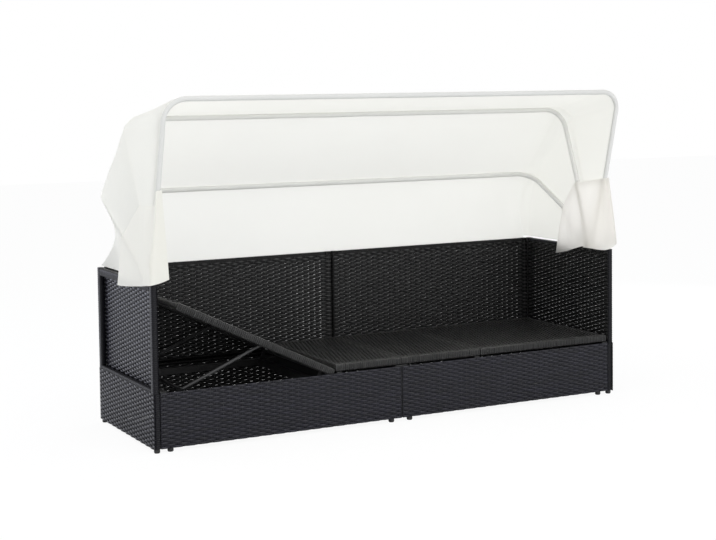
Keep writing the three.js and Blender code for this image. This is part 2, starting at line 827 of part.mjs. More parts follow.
function backSheet() {
  const top = bowStations(rearBow);
  const columns = top.length - 1;
  const hem = backHem(columns);
  const cornerColumn = legRuns + bowBendSteps / 2;
  const surface = (column, row) => {
    const down = row / backRows;
    const place = top[column].clone().lerp(hem[column], down);
    const fromCorner = Math.min(column, columns - column) - cornerColumn;
    const near = Math.exp(-(fromCorner * fromCorner) / (2 * neckColumns));
    const drawn = Math.sin(Math.PI * Math.pow(down, Math.log(1 / 2) / Math.log(neckLowShare)));
    const neckIn = place.x < 0 ? leftNeckIn : -rightNeckIn;
    place.x += neckIn * near * Math.max(drawn, 0);
    return place;
  };
  return clothSolid(columns, backRows, (column, row) => ({
    place: surface(column, row),
    normal: normalAt(surface, column, row, columns, backRows),
    lift: clothLift * (1 - row / backRows),
  }));
}

// Side flaps hang from the bows' legs, from the front of the post to the skirt's front edge.
// Each row of shares places the hem: outward of half the length, back of half the depth, up of
// the side height. The left hem lies outside the panel, and the right one ends inside it.
const leftHemShares = [
  [0.952, -1.062, 1.025],
  [0.978, -1.065, 1.012],
  [1.006, -1.052, 1.002],
  [1.011, -0.95, 0.998],
  [1.012, -0.8, 0.995],
  [1.012, -0.6, 0.992],
  [1.012, -0.4, 0.975],
  [1.012, -0.2, 0.955],
  [1.012, -0.02, 0.942],
  [1.01, 0.1, 0.938],
];
const rightHemShares = [
  [0.95, -1.075, 1.045],
  [0.978, -1.075, 1.03],
  [1.006, -1.058, 1.012],
  [1.011, -0.95, 0.985],
  [1.012, -0.8, 0.99],
  [1.01, -0.6, 1.01],
  [0.97, -0.46, 1.01],
  [0.962, -0.3, 0.965],
  [0.96, -0.1, 0.965],
  [0.96, 0.12, 0.955],
];
const flapTopShares = [0, 0.06, 0.14, 0.3, 0.42, 0.54, 0.66, 0.78, 0.9, 1];
const flapKnotShares = [0, 0.07, 0.14, 0.54, 1];
const flapColumns = 27;
const flapRows = 8;
const flapFolds = 4;
const flapEndSetback = 4;
const flapFrontReturn = 10;

// The upper edge of a flap, as seen on the left: round the front leg, then along the roof's edge.
function flapTop(share) {
  const start = skirtStart - clothSeamGap - clothThickness;
  const frontLeg = onBow(frontBow, -frontLegX, start);
  const middleLeg = onBow(middleBow, -middleLegX, start);
  const rearLeg = onBow(rearBow, -rearLegX, start);
  rearLeg.y -= flapEndSetback;
  const outward = new THREE.Vector3(-clothLift, 0, 0);
  const returned = frontLeg.clone().add(new THREE.Vector3(flapFrontReturn, -clothLift - clothGap, 0));
  const turned = frontLeg.clone().add(new THREE.Vector3(-clothLift, -clothLift, 0));
  const points = [
    returned,
    turned,
    frontLeg.add(outward),
    middleLeg.add(outward),
    rearLeg.add(outward),
  ];
  const next = Math.max(flapKnotShares.findIndex((knot) => knot >= share), 1);
  const before = flapKnotShares[next - 1];
  const within = (share - before) / (flapKnotShares[next] - before);
  return points[next - 1].clone().lerp(points[next], within);
}

function hemCurve(shares) {
  const points = shares.map(([outward, back, up]) => new THREE.Vector3(
    -outward * halfLength, back * halfDepth, up * sideHeight,
  ));
  return new THREE.CatmullRomCurve3(points, false, "centripetal");
}

// How high the rear leg's underside passes at a place along the depth.
function rearLegUnderside(y) {
  const lean = radians(rearLeanAngle);
  return pivotHeight + (y + pivotSetback) / Math.tan(lean) - tubeRadius / Math.sin(lean);
}

const kneeX = rearLegX + tubeRadius + kneeClearance;
const nutKneeX = bracketOuter + fit + nutHeight + kneeClearance;
const kneeShareAhead = 0.7;

function flapGeometry(shares) {
  const hem = hemCurve(shares);
  const curveShare = (column) => {
    const wanted = column / flapColumns;
    const index = flapTopShares.findIndex((share) => share >= wanted);
    if (index <= 0) {
      return 0;
    }
    const before = flapTopShares[index - 1];
    const within = (wanted - before) / (flapTopShares[index] - before);
    return (index - 1 + within) / (flapTopShares.length - 1);
  };
  const surface = (column, row) => {
    const top = flapTop(column / flapColumns);
    const low = hem.getPoint(curveShare(column));
    const middleY = (top.y + low.y) / 2;
    const behind = middleY > -pivotSetback;
    const legShare = (top.z - rearLegUnderside(middleY)) / (top.z - low.z);
    const knee = behind ? Math.min(legShare, 1 - 1 / flapRows) : kneeShareAhead;
    const half = flapRows / 2;
    const down = row <= half ? (knee * row) / half : knee + ((1 - knee) * (row - half)) / half;
    const place = top.clone().lerp(low, down);
    const rounded = Math.min(column / flapColumns / flapKnotShares[2], 1);
    const pastNut = THREE.MathUtils.smoothstep(middleY + pivotSetback, 0, bracketLength);
    const pushed = -THREE.MathUtils.lerp(nutKneeX, kneeX, pastNut);
    const kneePlace = THREE.MathUtils.lerp(THREE.MathUtils.lerp(top.x, low.x, knee), pushed, rounded);
    const upper = THREE.MathUtils.lerp(top.x, kneePlace, Math.min(down / knee, 1));
    const lower = THREE.MathUtils.lerp(kneePlace, low.x, (down - knee) / (1 - knee));
    place.x = row <= half ? upper : lower;
    const fold = (1 - Math.cos((2 * Math.PI * flapFolds * column) / flapColumns)) / 2;
    place.x -= flapFold * fold * rounded * down * down;
    return place;
  };
  return clothSolid(flapColumns, flapRows, (column, row) => ({
    place: surface(column, row),
    normal: normalAt(surface, column, row, flapColumns, flapRows),
    lift: 0,
  }));
}

function addCloth() {
  addPiece("front_roof_cloth", roofBay(frontBow, middleBow, frontRoofSag), clothFinish);
  addPiece("rear_roof_cloth", roofBay(middleBow, rearBow, rearRoofSag), clothFinish);
  addPiece("back_cloth", backSheet(), clothFinish);
  addPiece("left_flap_cloth", flapGeometry(leftHemShares), clothFinish);
  addPiece("right_flap_cloth", mirrored(flapGeometry(rightHemShares)), clothFinish);
}

const ends = [["left", leftSeam, leftLiftAngle], ["right", rightSeam, rightLiftAngle]];
for (const [side, seam, lift] of ends) {
  addSidePanel(side);
  addBackPanel(side);
  addBaseBox(side, seam);
  addFixedSeat(side, seam);
  addLifter(side, seam, lift);
  addHingeBolts(side, seam);
  addRestBars(side, seam);
  addFeet(side);
  addBracket(side);
  addPivotBolt(side);
}
for (const bow of [frontBow, middleBow, rearBow]) {
  addBow(bow);
}
addCloth();

// The canopy reaches out in front, so the bed is set back to stay centred on the origin.
const frontOverhang = -frontRadius * Math.sin(radians(frontLeanAngle));
const frontReach = pivotSetback + frontOverhang + clothLift + clothThickness;
const backReach = halfDepth + backClearance + clothThickness;
daybed.position.y = (frontReach - backReach) / 2;

export default daybed;
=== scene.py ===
import json
import math

import bpy
import numpy as np
from mathutils import Matrix, Vector


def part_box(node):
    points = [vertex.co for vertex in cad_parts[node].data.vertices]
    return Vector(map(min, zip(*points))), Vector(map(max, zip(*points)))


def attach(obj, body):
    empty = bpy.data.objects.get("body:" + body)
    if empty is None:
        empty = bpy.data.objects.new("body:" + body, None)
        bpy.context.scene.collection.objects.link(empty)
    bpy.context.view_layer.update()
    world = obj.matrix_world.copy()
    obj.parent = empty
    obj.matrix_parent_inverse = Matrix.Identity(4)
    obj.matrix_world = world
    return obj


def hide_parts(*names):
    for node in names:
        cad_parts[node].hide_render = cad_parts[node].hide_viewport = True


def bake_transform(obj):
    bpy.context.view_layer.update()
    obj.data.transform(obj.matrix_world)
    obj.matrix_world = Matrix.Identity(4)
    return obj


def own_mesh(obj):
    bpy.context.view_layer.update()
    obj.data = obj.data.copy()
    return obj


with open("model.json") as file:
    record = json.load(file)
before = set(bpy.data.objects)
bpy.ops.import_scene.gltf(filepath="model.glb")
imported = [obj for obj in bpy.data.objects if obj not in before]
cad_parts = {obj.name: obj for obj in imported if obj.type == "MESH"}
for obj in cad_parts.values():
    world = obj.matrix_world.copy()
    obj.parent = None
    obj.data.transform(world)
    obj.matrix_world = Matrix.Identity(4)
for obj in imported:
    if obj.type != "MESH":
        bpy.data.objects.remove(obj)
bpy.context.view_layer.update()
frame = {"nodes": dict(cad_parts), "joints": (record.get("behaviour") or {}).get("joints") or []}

# Woven outdoor daybed with a folding canopy. Metres, in the row frame: +X along the bed, +Y to its back.
print("frame loaded:", len(frame["nodes"]), "nodes")
chance = np.random.default_rng(11)
sides = {"left": -1, "right": 1}
jointPlace = {joint["name"]: np.array(joint["pos_m"]) for joint in frame["joints"]}
pivot = jointPlace["canopy_fold"]
halfDepth = 0.300
(_, frontY, _), (_, backY, sideTop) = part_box("left_side_frame")
bedMiddle = frontY + halfDepth


# camera, lights and stage

cameraSet = {
    "place": (-2.78289, bedMiddle - 5.20782, 1.27918),
    "turn": 0.48762,
    "tilt": -0.06531,
    "roll": -0.01252,
    "lens": 75.169,
    "shiftY": -0.1198,
}


def addObject(name, data):
    made = bpy.data.objects.new(name, data)
    bpy.context.scene.collection.objects.link(made)
    return made


def addCamera():
    data = bpy.data.cameras.new("photoCamera")
    data.sensor_width = 36
    data.lens = cameraSet["lens"]
    data.shift_y = cameraSet["shiftY"]
    data.clip_end = 100
    camera = addObject("photoCamera", data)
    turned = Matrix.Rotation(-cameraSet["turn"], 4, "Z")
    tilted = Matrix.Rotation(math.pi / 2 + cameraSet["tilt"], 4, "X")
    rolled = Matrix.Rotation(cameraSet["roll"], 4, "Z")
    camera.matrix_world = Matrix.Translation(cameraSet["place"]) @ turned @ tilted @ rolled
    bpy.context.scene.camera = camera


# materials: one wrapper for a socket, one method for a node


class Wire:
    def __init__(self, paint, socket):
        self.paint, self.socket = paint, socket

    def maths(self, operation, other, swapped=False):
        pair = (other, self) if swapped else (self, other)
        return self.paint.node("ShaderNodeMath", {"operation": operation}, dict(enumerate(pair)))

    def __add__(self, other):
        return self.maths("ADD", other)

    def __radd__(self, other):
        return self.maths("ADD", other, True)

    def __sub__(self, other):
        return self.maths("SUBTRACT", other)

    def __rsub__(self, other):
        return self.maths("SUBTRACT", other, True)

    def __mul__(self, other):
        return self.maths("MULTIPLY", other)

    def __rmul__(self, other):
        return self.maths("MULTIPLY", other, True)

    def atLeast(self, other):
        return self.maths("MAXIMUM", other)

    def sine(self):
        return self.maths("SINE", 0.0)

    def absolute(self):
        return self.maths("ABSOLUTE", 0.0)

    def twin(self, output):  # another output of the same node
        return Wire(self.paint, self.socket.node.outputs[output])


class Paint:  # the nodes of a material or of the world
    def __init__(self, owner):
        self.owner = owner
        owner.use_nodes = True
        self.tree = owner.node_tree
        self.tree.nodes.clear()

    def node(self, kind, settings=None, values=None, output=0):
        made = self.tree.nodes.new(kind)
        for key, value in (settings or {}).items():
            setattr(made, key, value)
        for key, value in (values or {}).items():
            if isinstance(value, Wire):
                self.tree.links.new(value.socket, made.inputs[key])
            else:
                made.inputs[key].default_value = value
        return Wire(self, made.outputs[output]) if len(made.outputs) else None

    def attribute(self, name, output=2):
        return self.node("ShaderNodeAttribute", {"attribute_name": name}, {}, output)

    def noise(self, place, stretch, detail):
        stretched = self.node("ShaderNodeVectorMath", {"operation": "MULTIPLY"}, {0: place, 1: stretch})
        return self.node("ShaderNodeTexNoise", {}, {"Vector": stretched, "Scale": 1.0, "Detail": detail})

    def blended(self, share, first, second):
        colours = {0: share, 6: (*first, 1), 7: (*second, 1)}
        return self.node("ShaderNodeMix", {"data_type": "RGBA"}, colours, 2)

    def ranged(self, value, low, high, newLow=0.0, newHigh=1.0):
        return self.node("ShaderNodeMapRange", {}, {0: value, 1: low, 2: high, 3: newLow, 4: newHigh})

    def surface(self, colour, rough, height, bump, values):  # bump: strength and distance
        raised = {"Height": height, "Strength": bump[0], "Distance": bump[1]}
        normal = self.node("ShaderNodeBump", {}, raised)
        values = {"Base Color": colour, "Roughness": rough, "Normal": normal, **values}
        return self.node("ShaderNodeBsdfPrincipled", {}, values)

    def mixed(self, share, first, second):
        return self.node("ShaderNodeMixShader", {}, {0: share, 1: first, 2: second})

    def finished(self, shader, output="ShaderNodeOutputMaterial"):
        self.node(output, {}, {"Surface": shader})
        return self.owner


# Dark and pale colour, strength of the coat, and brightness of the painted shade on faces that lie under other
# strands.
# Each part has its own tone, because the photograph's light differs from part to part.
strandTones = {
    "weave": ((0.0016, 0.0016, 0.0017), (0.036, 0.036, 0.0355), 0.21, 0.34),
    "skin": ((0.0016, 0.0016, 0.0028), (0.020, 0.019, 0.035), 0.30, 0.24),
    "lowSkin": ((0.0016, 0.0016, 0.0028), (0.0175, 0.0162, 0.031), 0.255, 0.24),
    "skirt": ((0.0016, 0.0016, 0.0028), (0.0150, 0.0145, 0.0265), 0.24, 0.62),
    "seat": ((0.0022, 0.0022, 0.0022), (0.053, 0.053, 0.052), 0.32, 0.55),
    "wrapped_frame": ((0.0034, 0.0034, 0.0052), (0.0085, 0.0085, 0.0125), 0.25, 0.06),
    "backFrame": ((0.0022, 0.0022, 0.0022), (0.012, 0.012, 0.0118), 0.22, 0.06),
}
strandSurface = {
    "grooves": (25, 2600, 1),
    "patches": (9, 40, 1),
    "grooveShare": 0.45,
    "spread": (0.3, 0.7),
    "edge": (0.0, 0.45, 0.5, 1.0),
    "underToTop": (0.35, 0.95),
    "rough": (0.32, 0.44),
    "bump": (0.35, 0.0004),
    "specular": 0.25,
    "coat": 3.2,
    "coatRough": 0.36,
}


def strandFinish(name):  # half-round polyethylene strand: fine drawn grooves, with painted shade at its edges and on its faces that lie under other strands
    paint = Paint(bpy.data.materials.new(name + "Finish"))
    look = strandSurface
    dark, pale, gleam, under = strandTones[name]
    place = paint.attribute("strandPlace", 1)
    grooves = paint.noise(place, look["grooves"], 3.0)
    patches = paint.noise(place, look["patches"], 1.0)
    share = paint.ranged(grooves * look["grooveShare"] + patches * (1 - look["grooveShare"]), *look["spread"])
    # painted shade: darker towards a strand's edges
    edge = paint.ranged(paint.attribute("crest"), *look["edge"])
    # painted shade on faces that lie under other strands, full colour where a face stands out
    recessShade = paint.ranged(paint.attribute("proud"), *look["underToTop"], under, 1.0)
    colour = paint.blended(share * edge * recessShade, dark, pale)
    rough = paint.ranged(grooves, *look["spread"], *look["rough"])
    return paint.finished(paint.surface(colour, rough, grooves, look["bump"], {
        "Specular IOR Level": gleam * look["specular"],
        "Coat Roughness": look["coatRough"],
        "Coat Weight": edge * recessShade * gleam * look["coat"],
    }))


# light and deep colour, colour of the light that comes through, and how much of the look that light is. The
# sleeves and flaps are darker copies of the canopy cloth: painted shade.
clothTones = {
    "canopy_cloth": ((0.92, 0.92, 0.895), (0.895, 0.895, 0.865), (0.955, 0.955, 0.935), 0.7),
    "leftFlap": ((0.905, 0.9, 0.855), (0.885, 0.88, 0.83), (0.92, 0.915, 0.88), 0.42),
    "rightFlap": ((0.914, 0.909, 0.885), (0.894, 0.889, 0.86), (0.945, 0.937, 0.922), 0.86),
    "sleeve": ((0.87, 0.87, 0.845), (0.84, 0.84, 0.81), (0.85, 0.85, 0.82), 0.2),
    "frontSleeve": ((0.71, 0.71, 0.69), (0.66, 0.66, 0.64), (0.7, 0.7, 0.68), 0.1),
}
clothSurface = {
    "thread": 0.0009,
    "slubs": (30, 420, 1),
    "broad": (3.2, 3.2, 3.2),
    "broadShare": 0.7,
    "spread": (0.35, 0.65),
    "hemStitch": 0.016,
    "stitch": 0.005,
    "hemLine": (0.0005, 0.0014),
    "stitchShade": 0.5,
    "heights": {"threads": 0.25, "slubs": 0.3, "stitch": -1.2, "line": -0.8},
    "bump": (0.3, 0.0004),
    "rough": 0.85,
    "sheen": 0.15,
}


def clothFinish(name):  # plain woven polyester with a turned hem and a row of stitches
    paint = Paint(bpy.data.materials.new(name + "Finish"))
    look = clothSurface
    light, deep, through, throughShare = clothTones[name]
    place = paint.attribute("clothPlace", 1)
    across = paint.node("ShaderNodeSeparateXYZ", {}, {0: place})
    turns = 2 * math.pi / look["thread"]
    threads = (across * turns).sine() * (across.twin(1) * turns).sine()
    slubs = paint.noise(place, look["slubs"], 2.0)
    broad = paint.noise(place, look["broad"], 3.0)
    # leg: painted light on the sleeves' legs and painted shade on their bar
    mixed = broad * look["broadShare"] + slubs * (1 - look["broadShare"]) + paint.attribute("leg")
    share = paint.ranged(mixed, *look["spread"])
    stitches = paint.ranged((across * (2 * math.pi / look["stitch"])).sine(), -0.2, 0.2)
    fromStitch = (paint.attribute("hemAway") - look["hemStitch"]).absolute()
    line = paint.ranged(fromStitch, *look["hemLine"], 1.0, 0.0)
    stitch = line * stitches
    # the stitch row is darkened: stitches, and painted shadow of the turned hem
    colour = paint.blended(share * (1 - stitch * look["stitchShade"]), deep, light)
    high = look["heights"]
    height = threads * high["threads"] + slubs * high["slubs"] + stitch * high["stitch"] + line * high["line"]
    face = paint.surface(colour, look["rough"], height, look["bump"], {"Sheen Weight": look["sheen"]})
    behind = paint.node("ShaderNodeBsdfTranslucent", {}, {"Color": (*through, 1)})
    return paint.finished(paint.mixed(throughShare, face, behind))


# grain and blotch: stretch and detail of the noise for the roughness and bump, and for the colour
coat = {"grain": ((420,) * 3, 2.0), "blotch": ((9,) * 3, 3.0), "spread": (0.35, 0.65), "bump": (0.15, 0.0003)}
mould = {"grain": ((700,) * 3, 2.0), "blotch": ((60,) * 3, 2.0), "spread": (0, 1), "bump": (0.2, 0.0003)}
stroke = (90, 900, 900), 3.0
brush = {"grain": stroke, "blotch": stroke, "spread": (0, 1), "bump": (0.1, 0.0002)}
hardLooks = {
    "base_tube": (coat, (0.004, 0.004, 0.0045), (0.008, 0.008, 0.0085), (0.5, 0.64), 0.0),
    "rod_steel": (coat, (0.009, 0.009, 0.0095), (0.015, 0.015, 0.0155), (0.38, 0.52), 0.0),
    "bow_steel": (coat, (0.78, 0.77, 0.73), (0.83, 0.82, 0.78), (0.36, 0.5), 0.0),
    "foot_plastic": (mould, (0.008, 0.008, 0.009), (0.02, 0.02, 0.02), (0.55, 0.75), 0.0),
    "zinc_fastener": (brush, (0.42, 0.42, 0.43), (0.62, 0.62, 0.61), (0.28, 0.45), 1.0),
}


def hardFinish(name):  # powder coat with a faint orange peel, moulded plastic or brushed zinc
    paint = Paint(bpy.data.materials.new(name + "Finish"))
    look, dark, pale, roughs, metallic = hardLooks[name]
    place = paint.node("ShaderNodeTexCoord", {}, {}, 3)
    grain = paint.noise(place, *look["grain"])
    blotch = paint.noise(place, *look["blotch"])
    colour = paint.blended(paint.ranged(blotch, *look["spread"]), dark, pale)
    rough = paint.ranged(grain, 0.3, 0.7, *roughs)
    return paint.finished(paint.surface(colour, rough, grain, look["bump"], {"Metallic": metallic}))


finishes = {name: strandFinish(name) for name in strandTones}
finishes |= {name: clothFinish(name) for name in clothTones}
finishes |= {name: hardFinish(name) for name in hardLooks}
print("finishes made:", len(finishes))


stageSet = {
    "floorSize": 30.0,
    "floorGrey": 0.96,
    "around": (0.97, 0.985, 1.0, 1),
    "ambient": 0.79,
    "seenWhite": 0.92,
    "underBed": {"ends": (0.985, 0.94), "front": (-0.20, -0.14), "back": (0.29, 0.25)},
}


def addStage():
    bpy.context.scene.world = bpy.data.worlds.new("studioWorld")
    white = (1, 1, 1, 1)
    paint = Paint(bpy.context.scene.world)
    ray = paint.node("ShaderNodeLightPath")
    seen = ray.atLeast(ray.twin("Is Transmission Ray")).atLeast(ray.twin("Is Glossy Ray"))
    lit = {"Color": stageSet["around"], "Strength": stageSet["ambient"]}
    around = paint.node("ShaderNodeBackground", {}, lit)
    back = paint.node("ShaderNodeBackground", {}, {"Color": white, "Strength": 1.0})
    paint.finished(paint.mixed(seen, around, back), "ShaderNodeOutputWorld")

    paint = Paint(bpy.data.materials.new("studioFloor"))
    ray = paint.node("ShaderNodeLightPath")
    along = paint.node("ShaderNodeSeparateXYZ", {}, {0: paint.node("ShaderNodeTexCoord", {}, {}, 3)})
    across = along.twin(1) - bedMiddle
    under = paint.ranged(along.absolute(), *stageSet["underBed"]["ends"])
    for end in ("front", "back"):
        under = under * paint.ranged(across, *stageSet["underBed"][end])
    # the camera sees the floor white, but under the bed it lies in the bed's shade
    seen = ray.atLeast(ray.twin("Is Transmission Ray")) * stageSet["seenWhite"] * (1 - under)
    grey = stageSet["floorGrey"]
    matt = paint.node("ShaderNodeBsdfDiffuse", {}, {"Color": (grey, grey, grey, 1)})
    glow = paint.node("ShaderNodeEmission", {}, {"Color": white, "Strength": 1.0})
    half = stageSet["floorSize"] / 2
    mesh = bpy.data.meshes.new("studioFloor")
    corners = [(-half, -half, 0), (half, -half, 0), (half, half, 0), (-half, half, 0)]
    mesh.from_pydata(corners, [], [(0, 1, 2, 3)])
    mesh.materials.append(paint.finished(paint.mixed(seen, matt, glow)))
    floor = addObject("studioFloor", mesh)


plain, cool, bluish = (1.0, 1.0, 1.0), (0.98, 0.98, 1.0), (0.78, 0.81, 1.0)
lampSet = {
    "overhead": {"place": (-2.0, -1.6, 4.1), "aim": (-0.3, 0, 0.6), "size": 4.5, "power": 66, "tint": plain},
    "leftRear": {"place": (-3.6, 3.2, 1.1), "aim": (-1, 0, 0.45), "size": 1.2, "power": 39, "tint": bluish},
    "front": {"place": (1.2, -5.0, 2.2), "aim": (0, 0, 0.6), "size": 3.5, "power": 72, "tint": cool},
    "rightRear": {"place": (3.6, 1.6, 1.5), "aim": (1, 0, 0.9), "size": 2.0, "power": 20, "tint": plain},
}


def addLamps():
    for name, lamp in lampSet.items():
        data = bpy.data.lights.new(name, "AREA")
        data.shape = "SQUARE"
        data.size = lamp["size"]
        data.energy = lamp["power"]
        data.color = lamp["tint"]
        made = addObject(name, data)
        made.location = lamp["place"]
        ahead = Vector(lamp["aim"]) - Vector(lamp["place"])
        made.rotation_euler = ahead.to_track_quat("-Z", "Y").to_euler()


addCamera()
addStage()
addLamps()
bpy.context.scene.view_settings.view_transform = "Standard"
print("stage ready")


# mesh makers


def boxEnds(node):
    return [np.array(end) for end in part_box(node)]


def stacked(x, y, z):
    return np.stack(np.broadcast_arrays(x, y, z), axis=-1)


def unit(vectors):
    return vectors / np.linalg.norm(vectors, axis=-1, keepdims=True)


def runLengths(lines):  # metres from the start of each line of points
    steps = np.cumsum(np.linalg.norm(np.diff(lines, axis=-2), axis=-1), axis=-1)
    return np.concatenate([np.zeros((*steps.shape[:-1], 1)), steps], axis=-1)


def makePiece(name, points, faces, slotName, body, replaced, traits, finish=None):
    # traits: what the finish reads, a number or a vector for each point
    mesh = bpy.data.meshes.new(name)
    corners = np.concatenate([face.ravel() for face in faces]).astype(np.int32)
    sizes = np.concatenate([np.full(len(face), face.shape[1]) for face in faces])
    starts = np.concatenate([[0], np.cumsum(sizes)[:-1]]).astype(np.int32)
    mesh.vertices.add(len(points))
    mesh.vertices.foreach_set("co", np.asarray(points, np.float32).ravel())
    mesh.loops.add(len(corners))
    mesh.loops.foreach_set("vertex_index", corners)
    mesh.polygons.add(len(sizes))
    mesh.polygons.foreach_set("loop_start", starts)
    mesh.polygons.foreach_set("use_smooth", np.ones(len(sizes), bool))
    mesh.update(calc_edges=True)
    for key, values in traits.items():
        values = np.asarray(values, np.float32)
        kind, field = ("FLOAT", "value") if values.size == len(points) else ("FLOAT_VECTOR", "vector")
        mesh.attributes.new(key, kind, "POINT").data.foreach_set(field, values.ravel())
    mesh.materials.append(finishes[finish or slotName])
    piece = addObject(name, mesh)
    if body:
        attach(piece, body)
    if replaced:
        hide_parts(*replaced)
    return piece


noiseSpread = 50  # how far apart the strands read their noise


class Bundle:  # tubes gathered into one mesh
    # crest: 1 along a strand's middle and 0 at its edges, proud: how far a face stands out, 0 to 1,
    # place: along and across the strand, and its own start in the noise
    def __init__(self):
        self.points, self.faces, self.caps = [], [], []
        self.crest, self.proud, self.place = [], [], []
        self.total = 0

    def addRings(self, rings, crest, place, proud=0.5):
        tubes, stations, corners = rings.shape[:3]
        index = self.total + np.arange(tubes * stations * corners).reshape(tubes, stations, corners)
        turned = np.roll(index, -1, axis=2)
        quads = np.stack([index[:, :-1], turned[:, :-1], turned[:, 1:], index[:, 1:]], axis=-1)
        self.points.append(rings.reshape(-1, 3))
        self.faces.append(quads.reshape(-1, 4))
        self.caps.append(np.concatenate([index[:, 0, ::-1], index[:, -1]]))
        self.crest.append(np.broadcast_to(crest, rings.shape[:3]).ravel())
        self.proud.append(np.broadcast_to(proud, rings.shape[:3]).ravel())
        self.place.append(np.broadcast_to(place, rings.shape).reshape(-1, 3))
        self.total += index.size

    def addTubes(self, centres, across, section, widths=1.0, proud=0.5):
        ahead = unit(np.gradient(centres, axis=1))
        across = np.broadcast_to(across, centres.shape)
        up = unit(np.cross(ahead, across))
        sideways = section[:, 0] * np.broadcast_to(widths, centres.shape[:2])[:, :, None]
        rings = centres[:, :, None] + across[:, :, None] * sideways[..., None]
        rings = rings + up[:, :, None] * section[:, 1, None]
        start = chance.uniform(0, noiseSpread, len(centres))[:, None, None]
        place = stacked(runLengths(centres)[..., None], section[:, 0], start)
        crest = 1 - np.abs(section[:, 0]) / np.abs(section[:, 0]).max()
        self.addRings(rings, crest, place, proud)

    def move(self, matrix):
        turned = np.array(matrix, float)
        self.points = [points @ turned[:3, :3].T + turned[:3, 3] for points in self.points]

    def piece(self, name, slotName, body, replaced=(), finish=None):
        traits = {"crest": self.crest, "proud": self.proud, "strandPlace": self.place}
        traits = {key: np.concatenate(values) for key, values in traits.items()}
        points = np.concatenate(self.points)
        return makePiece(name, points, self.faces + self.caps, slotName, body, replaced, traits, finish)


weaveSet = {
    "rowPitch": 0.008,
    "stakePitch": 0.026,
    "skirtStakePitch": 0.0248,
    "strand": (0.0088, 0.0012),
    "stake": (0.0042, 0.0012),
    "shoulder": 0.6,
    "flatTop": 0.75,
    "lift": 0.0017,
    "wander": 0.00006,
    "stakeWander": 0.0004,
    "knotEvery": 10,
    "stagger": 0.00017,
    "loose": (0.92, 1.08),
    "proud": (0.5, 0.4, 0.2),
    "stepsPerFloat": 4,
    "stakeStations": 9,
    "underFrame": 0.002,
}


def flatSection(width, thickness):
    w, t = width / 2, thickness / 2
    s = weaveSet["shoulder"] * w
    return np.array([(w, 0), (s, t), (-s, t), (-w, 0), (-s, -t), (s, -t)])


def floatWave(shares):  # over one stake and under the next
    wave = np.sin(np.pi * shares)
    return np.sign(wave) * np.abs(wave) ** weaveSet["flatTop"]


def alternating(rows):
    return np.where(np.arange(rows) % 2, -1, 1)[:, None]


def standsOut(wave, section):  # how far each face of a strand stands out of the weave, 0 to 1
    wave, (middle, face, crossing) = wave[..., None], weaveSet["proud"]
    return middle + face * wave * np.sign(section[:, 1]) + crossing * (np.abs(wave) - 0.5)


def wander(tubes, stations, amount):  # a slow drift along each strand
    knots = chance.normal(0, amount, (tubes, max(3, stations // weaveSet["knotEvery"])))
    at = np.linspace(0, knots.shape[1] - 1, stations)
    low = np.minimum(at.astype(int), knots.shape[1] - 2)
    part = at - low
    return knots[:, low] * (1 - part) + knots[:, low + 1] * part


def weaveField(bundle, corner, rowDir, stepDir, length, width, openShare, stakePitch=weaveSet["stakePitch"]):
    # openShare: how much a strand narrows where it crosses its neighbours, at each end of the row
    rowDir, stepDir = np.array(rowDir, float), np.array(stepDir, float)
    hidden = weaveSet["underFrame"]
    corner = np.array(corner, float) - (rowDir + stepDir) * hidden
    length, width = length + 2 * hidden, width + 2 * hidden
    normal = np.cross(rowDir, stepDir)
    rows = round(width / weaveSet["rowPitch"])
    floats = round(length / stakePitch)
    shares = np.linspace(0, floats, floats * weaveSet["stepsPerFloat"] + 1)
    wave = floatWave(shares) * alternating(rows)
    drift = wander(rows, len(shares), weaveSet["wander"])
    drift += weaveSet["stagger"] * np.cos(np.pi * shares) * alternating(rows)
    height = (np.arange(rows) + 0.5)[:, None] * width / rows + drift
    centres = (
        corner
        + rowDir * (shares * length / floats)[:, None]
        + stepDir * height[..., None]
        + normal * weaveSet["lift"] * wave[..., None]
    )
    opening = np.interp(shares, np.linspace(0, floats, len(openShare)), openShare)
    loose = chance.uniform(*weaveSet["loose"], wave.shape)
    widths = 1 - opening * loose * (1 - np.abs(wave))
    section = flatSection(*weaveSet["strand"])
    bundle.addTubes(centres, stepDir, section, widths, standsOut(wave, section))
    at = (np.arange(floats) + 0.5) * length / floats
    run = np.linspace(0, width, weaveSet["stakeStations"])
    stakes = corner + rowDir * at[:, None, None] + stepDir * run[None, :, None]
    stakes = stakes + rowDir * wander(floats, len(run), weaveSet["stakeWander"])[:, :, None]
    bundle.addTubes(stakes, rowDir, flatSection(*weaveSet["stake"]))


windSet = {
    "pitch": 0.0078,
    "phases": (0, 0.1, 0.32, 0.68, 0.9),
    "groove": 0.0009,
    "corner": 0.005,
    "cornerSteps": 3,
    "uneven": 0.00025,
    "endCrest": 0.45,
}


def roundedBox(halfWide, halfHigh, radius, steps):
    x, y = np.array([(1, -1, -1, 1), (1, 1, -1, -1)])[..., None]
    angles = np.pi / 2 * (np.arange(4)[:, None] + np.linspace(0, 1, steps))
    wide, high = x * (halfWide - radius), y * (halfHigh - radius)
    return np.stack([wide + radius * np.cos(angles), high + radius * np.sin(angles)], axis=-1).reshape(-1, 2)


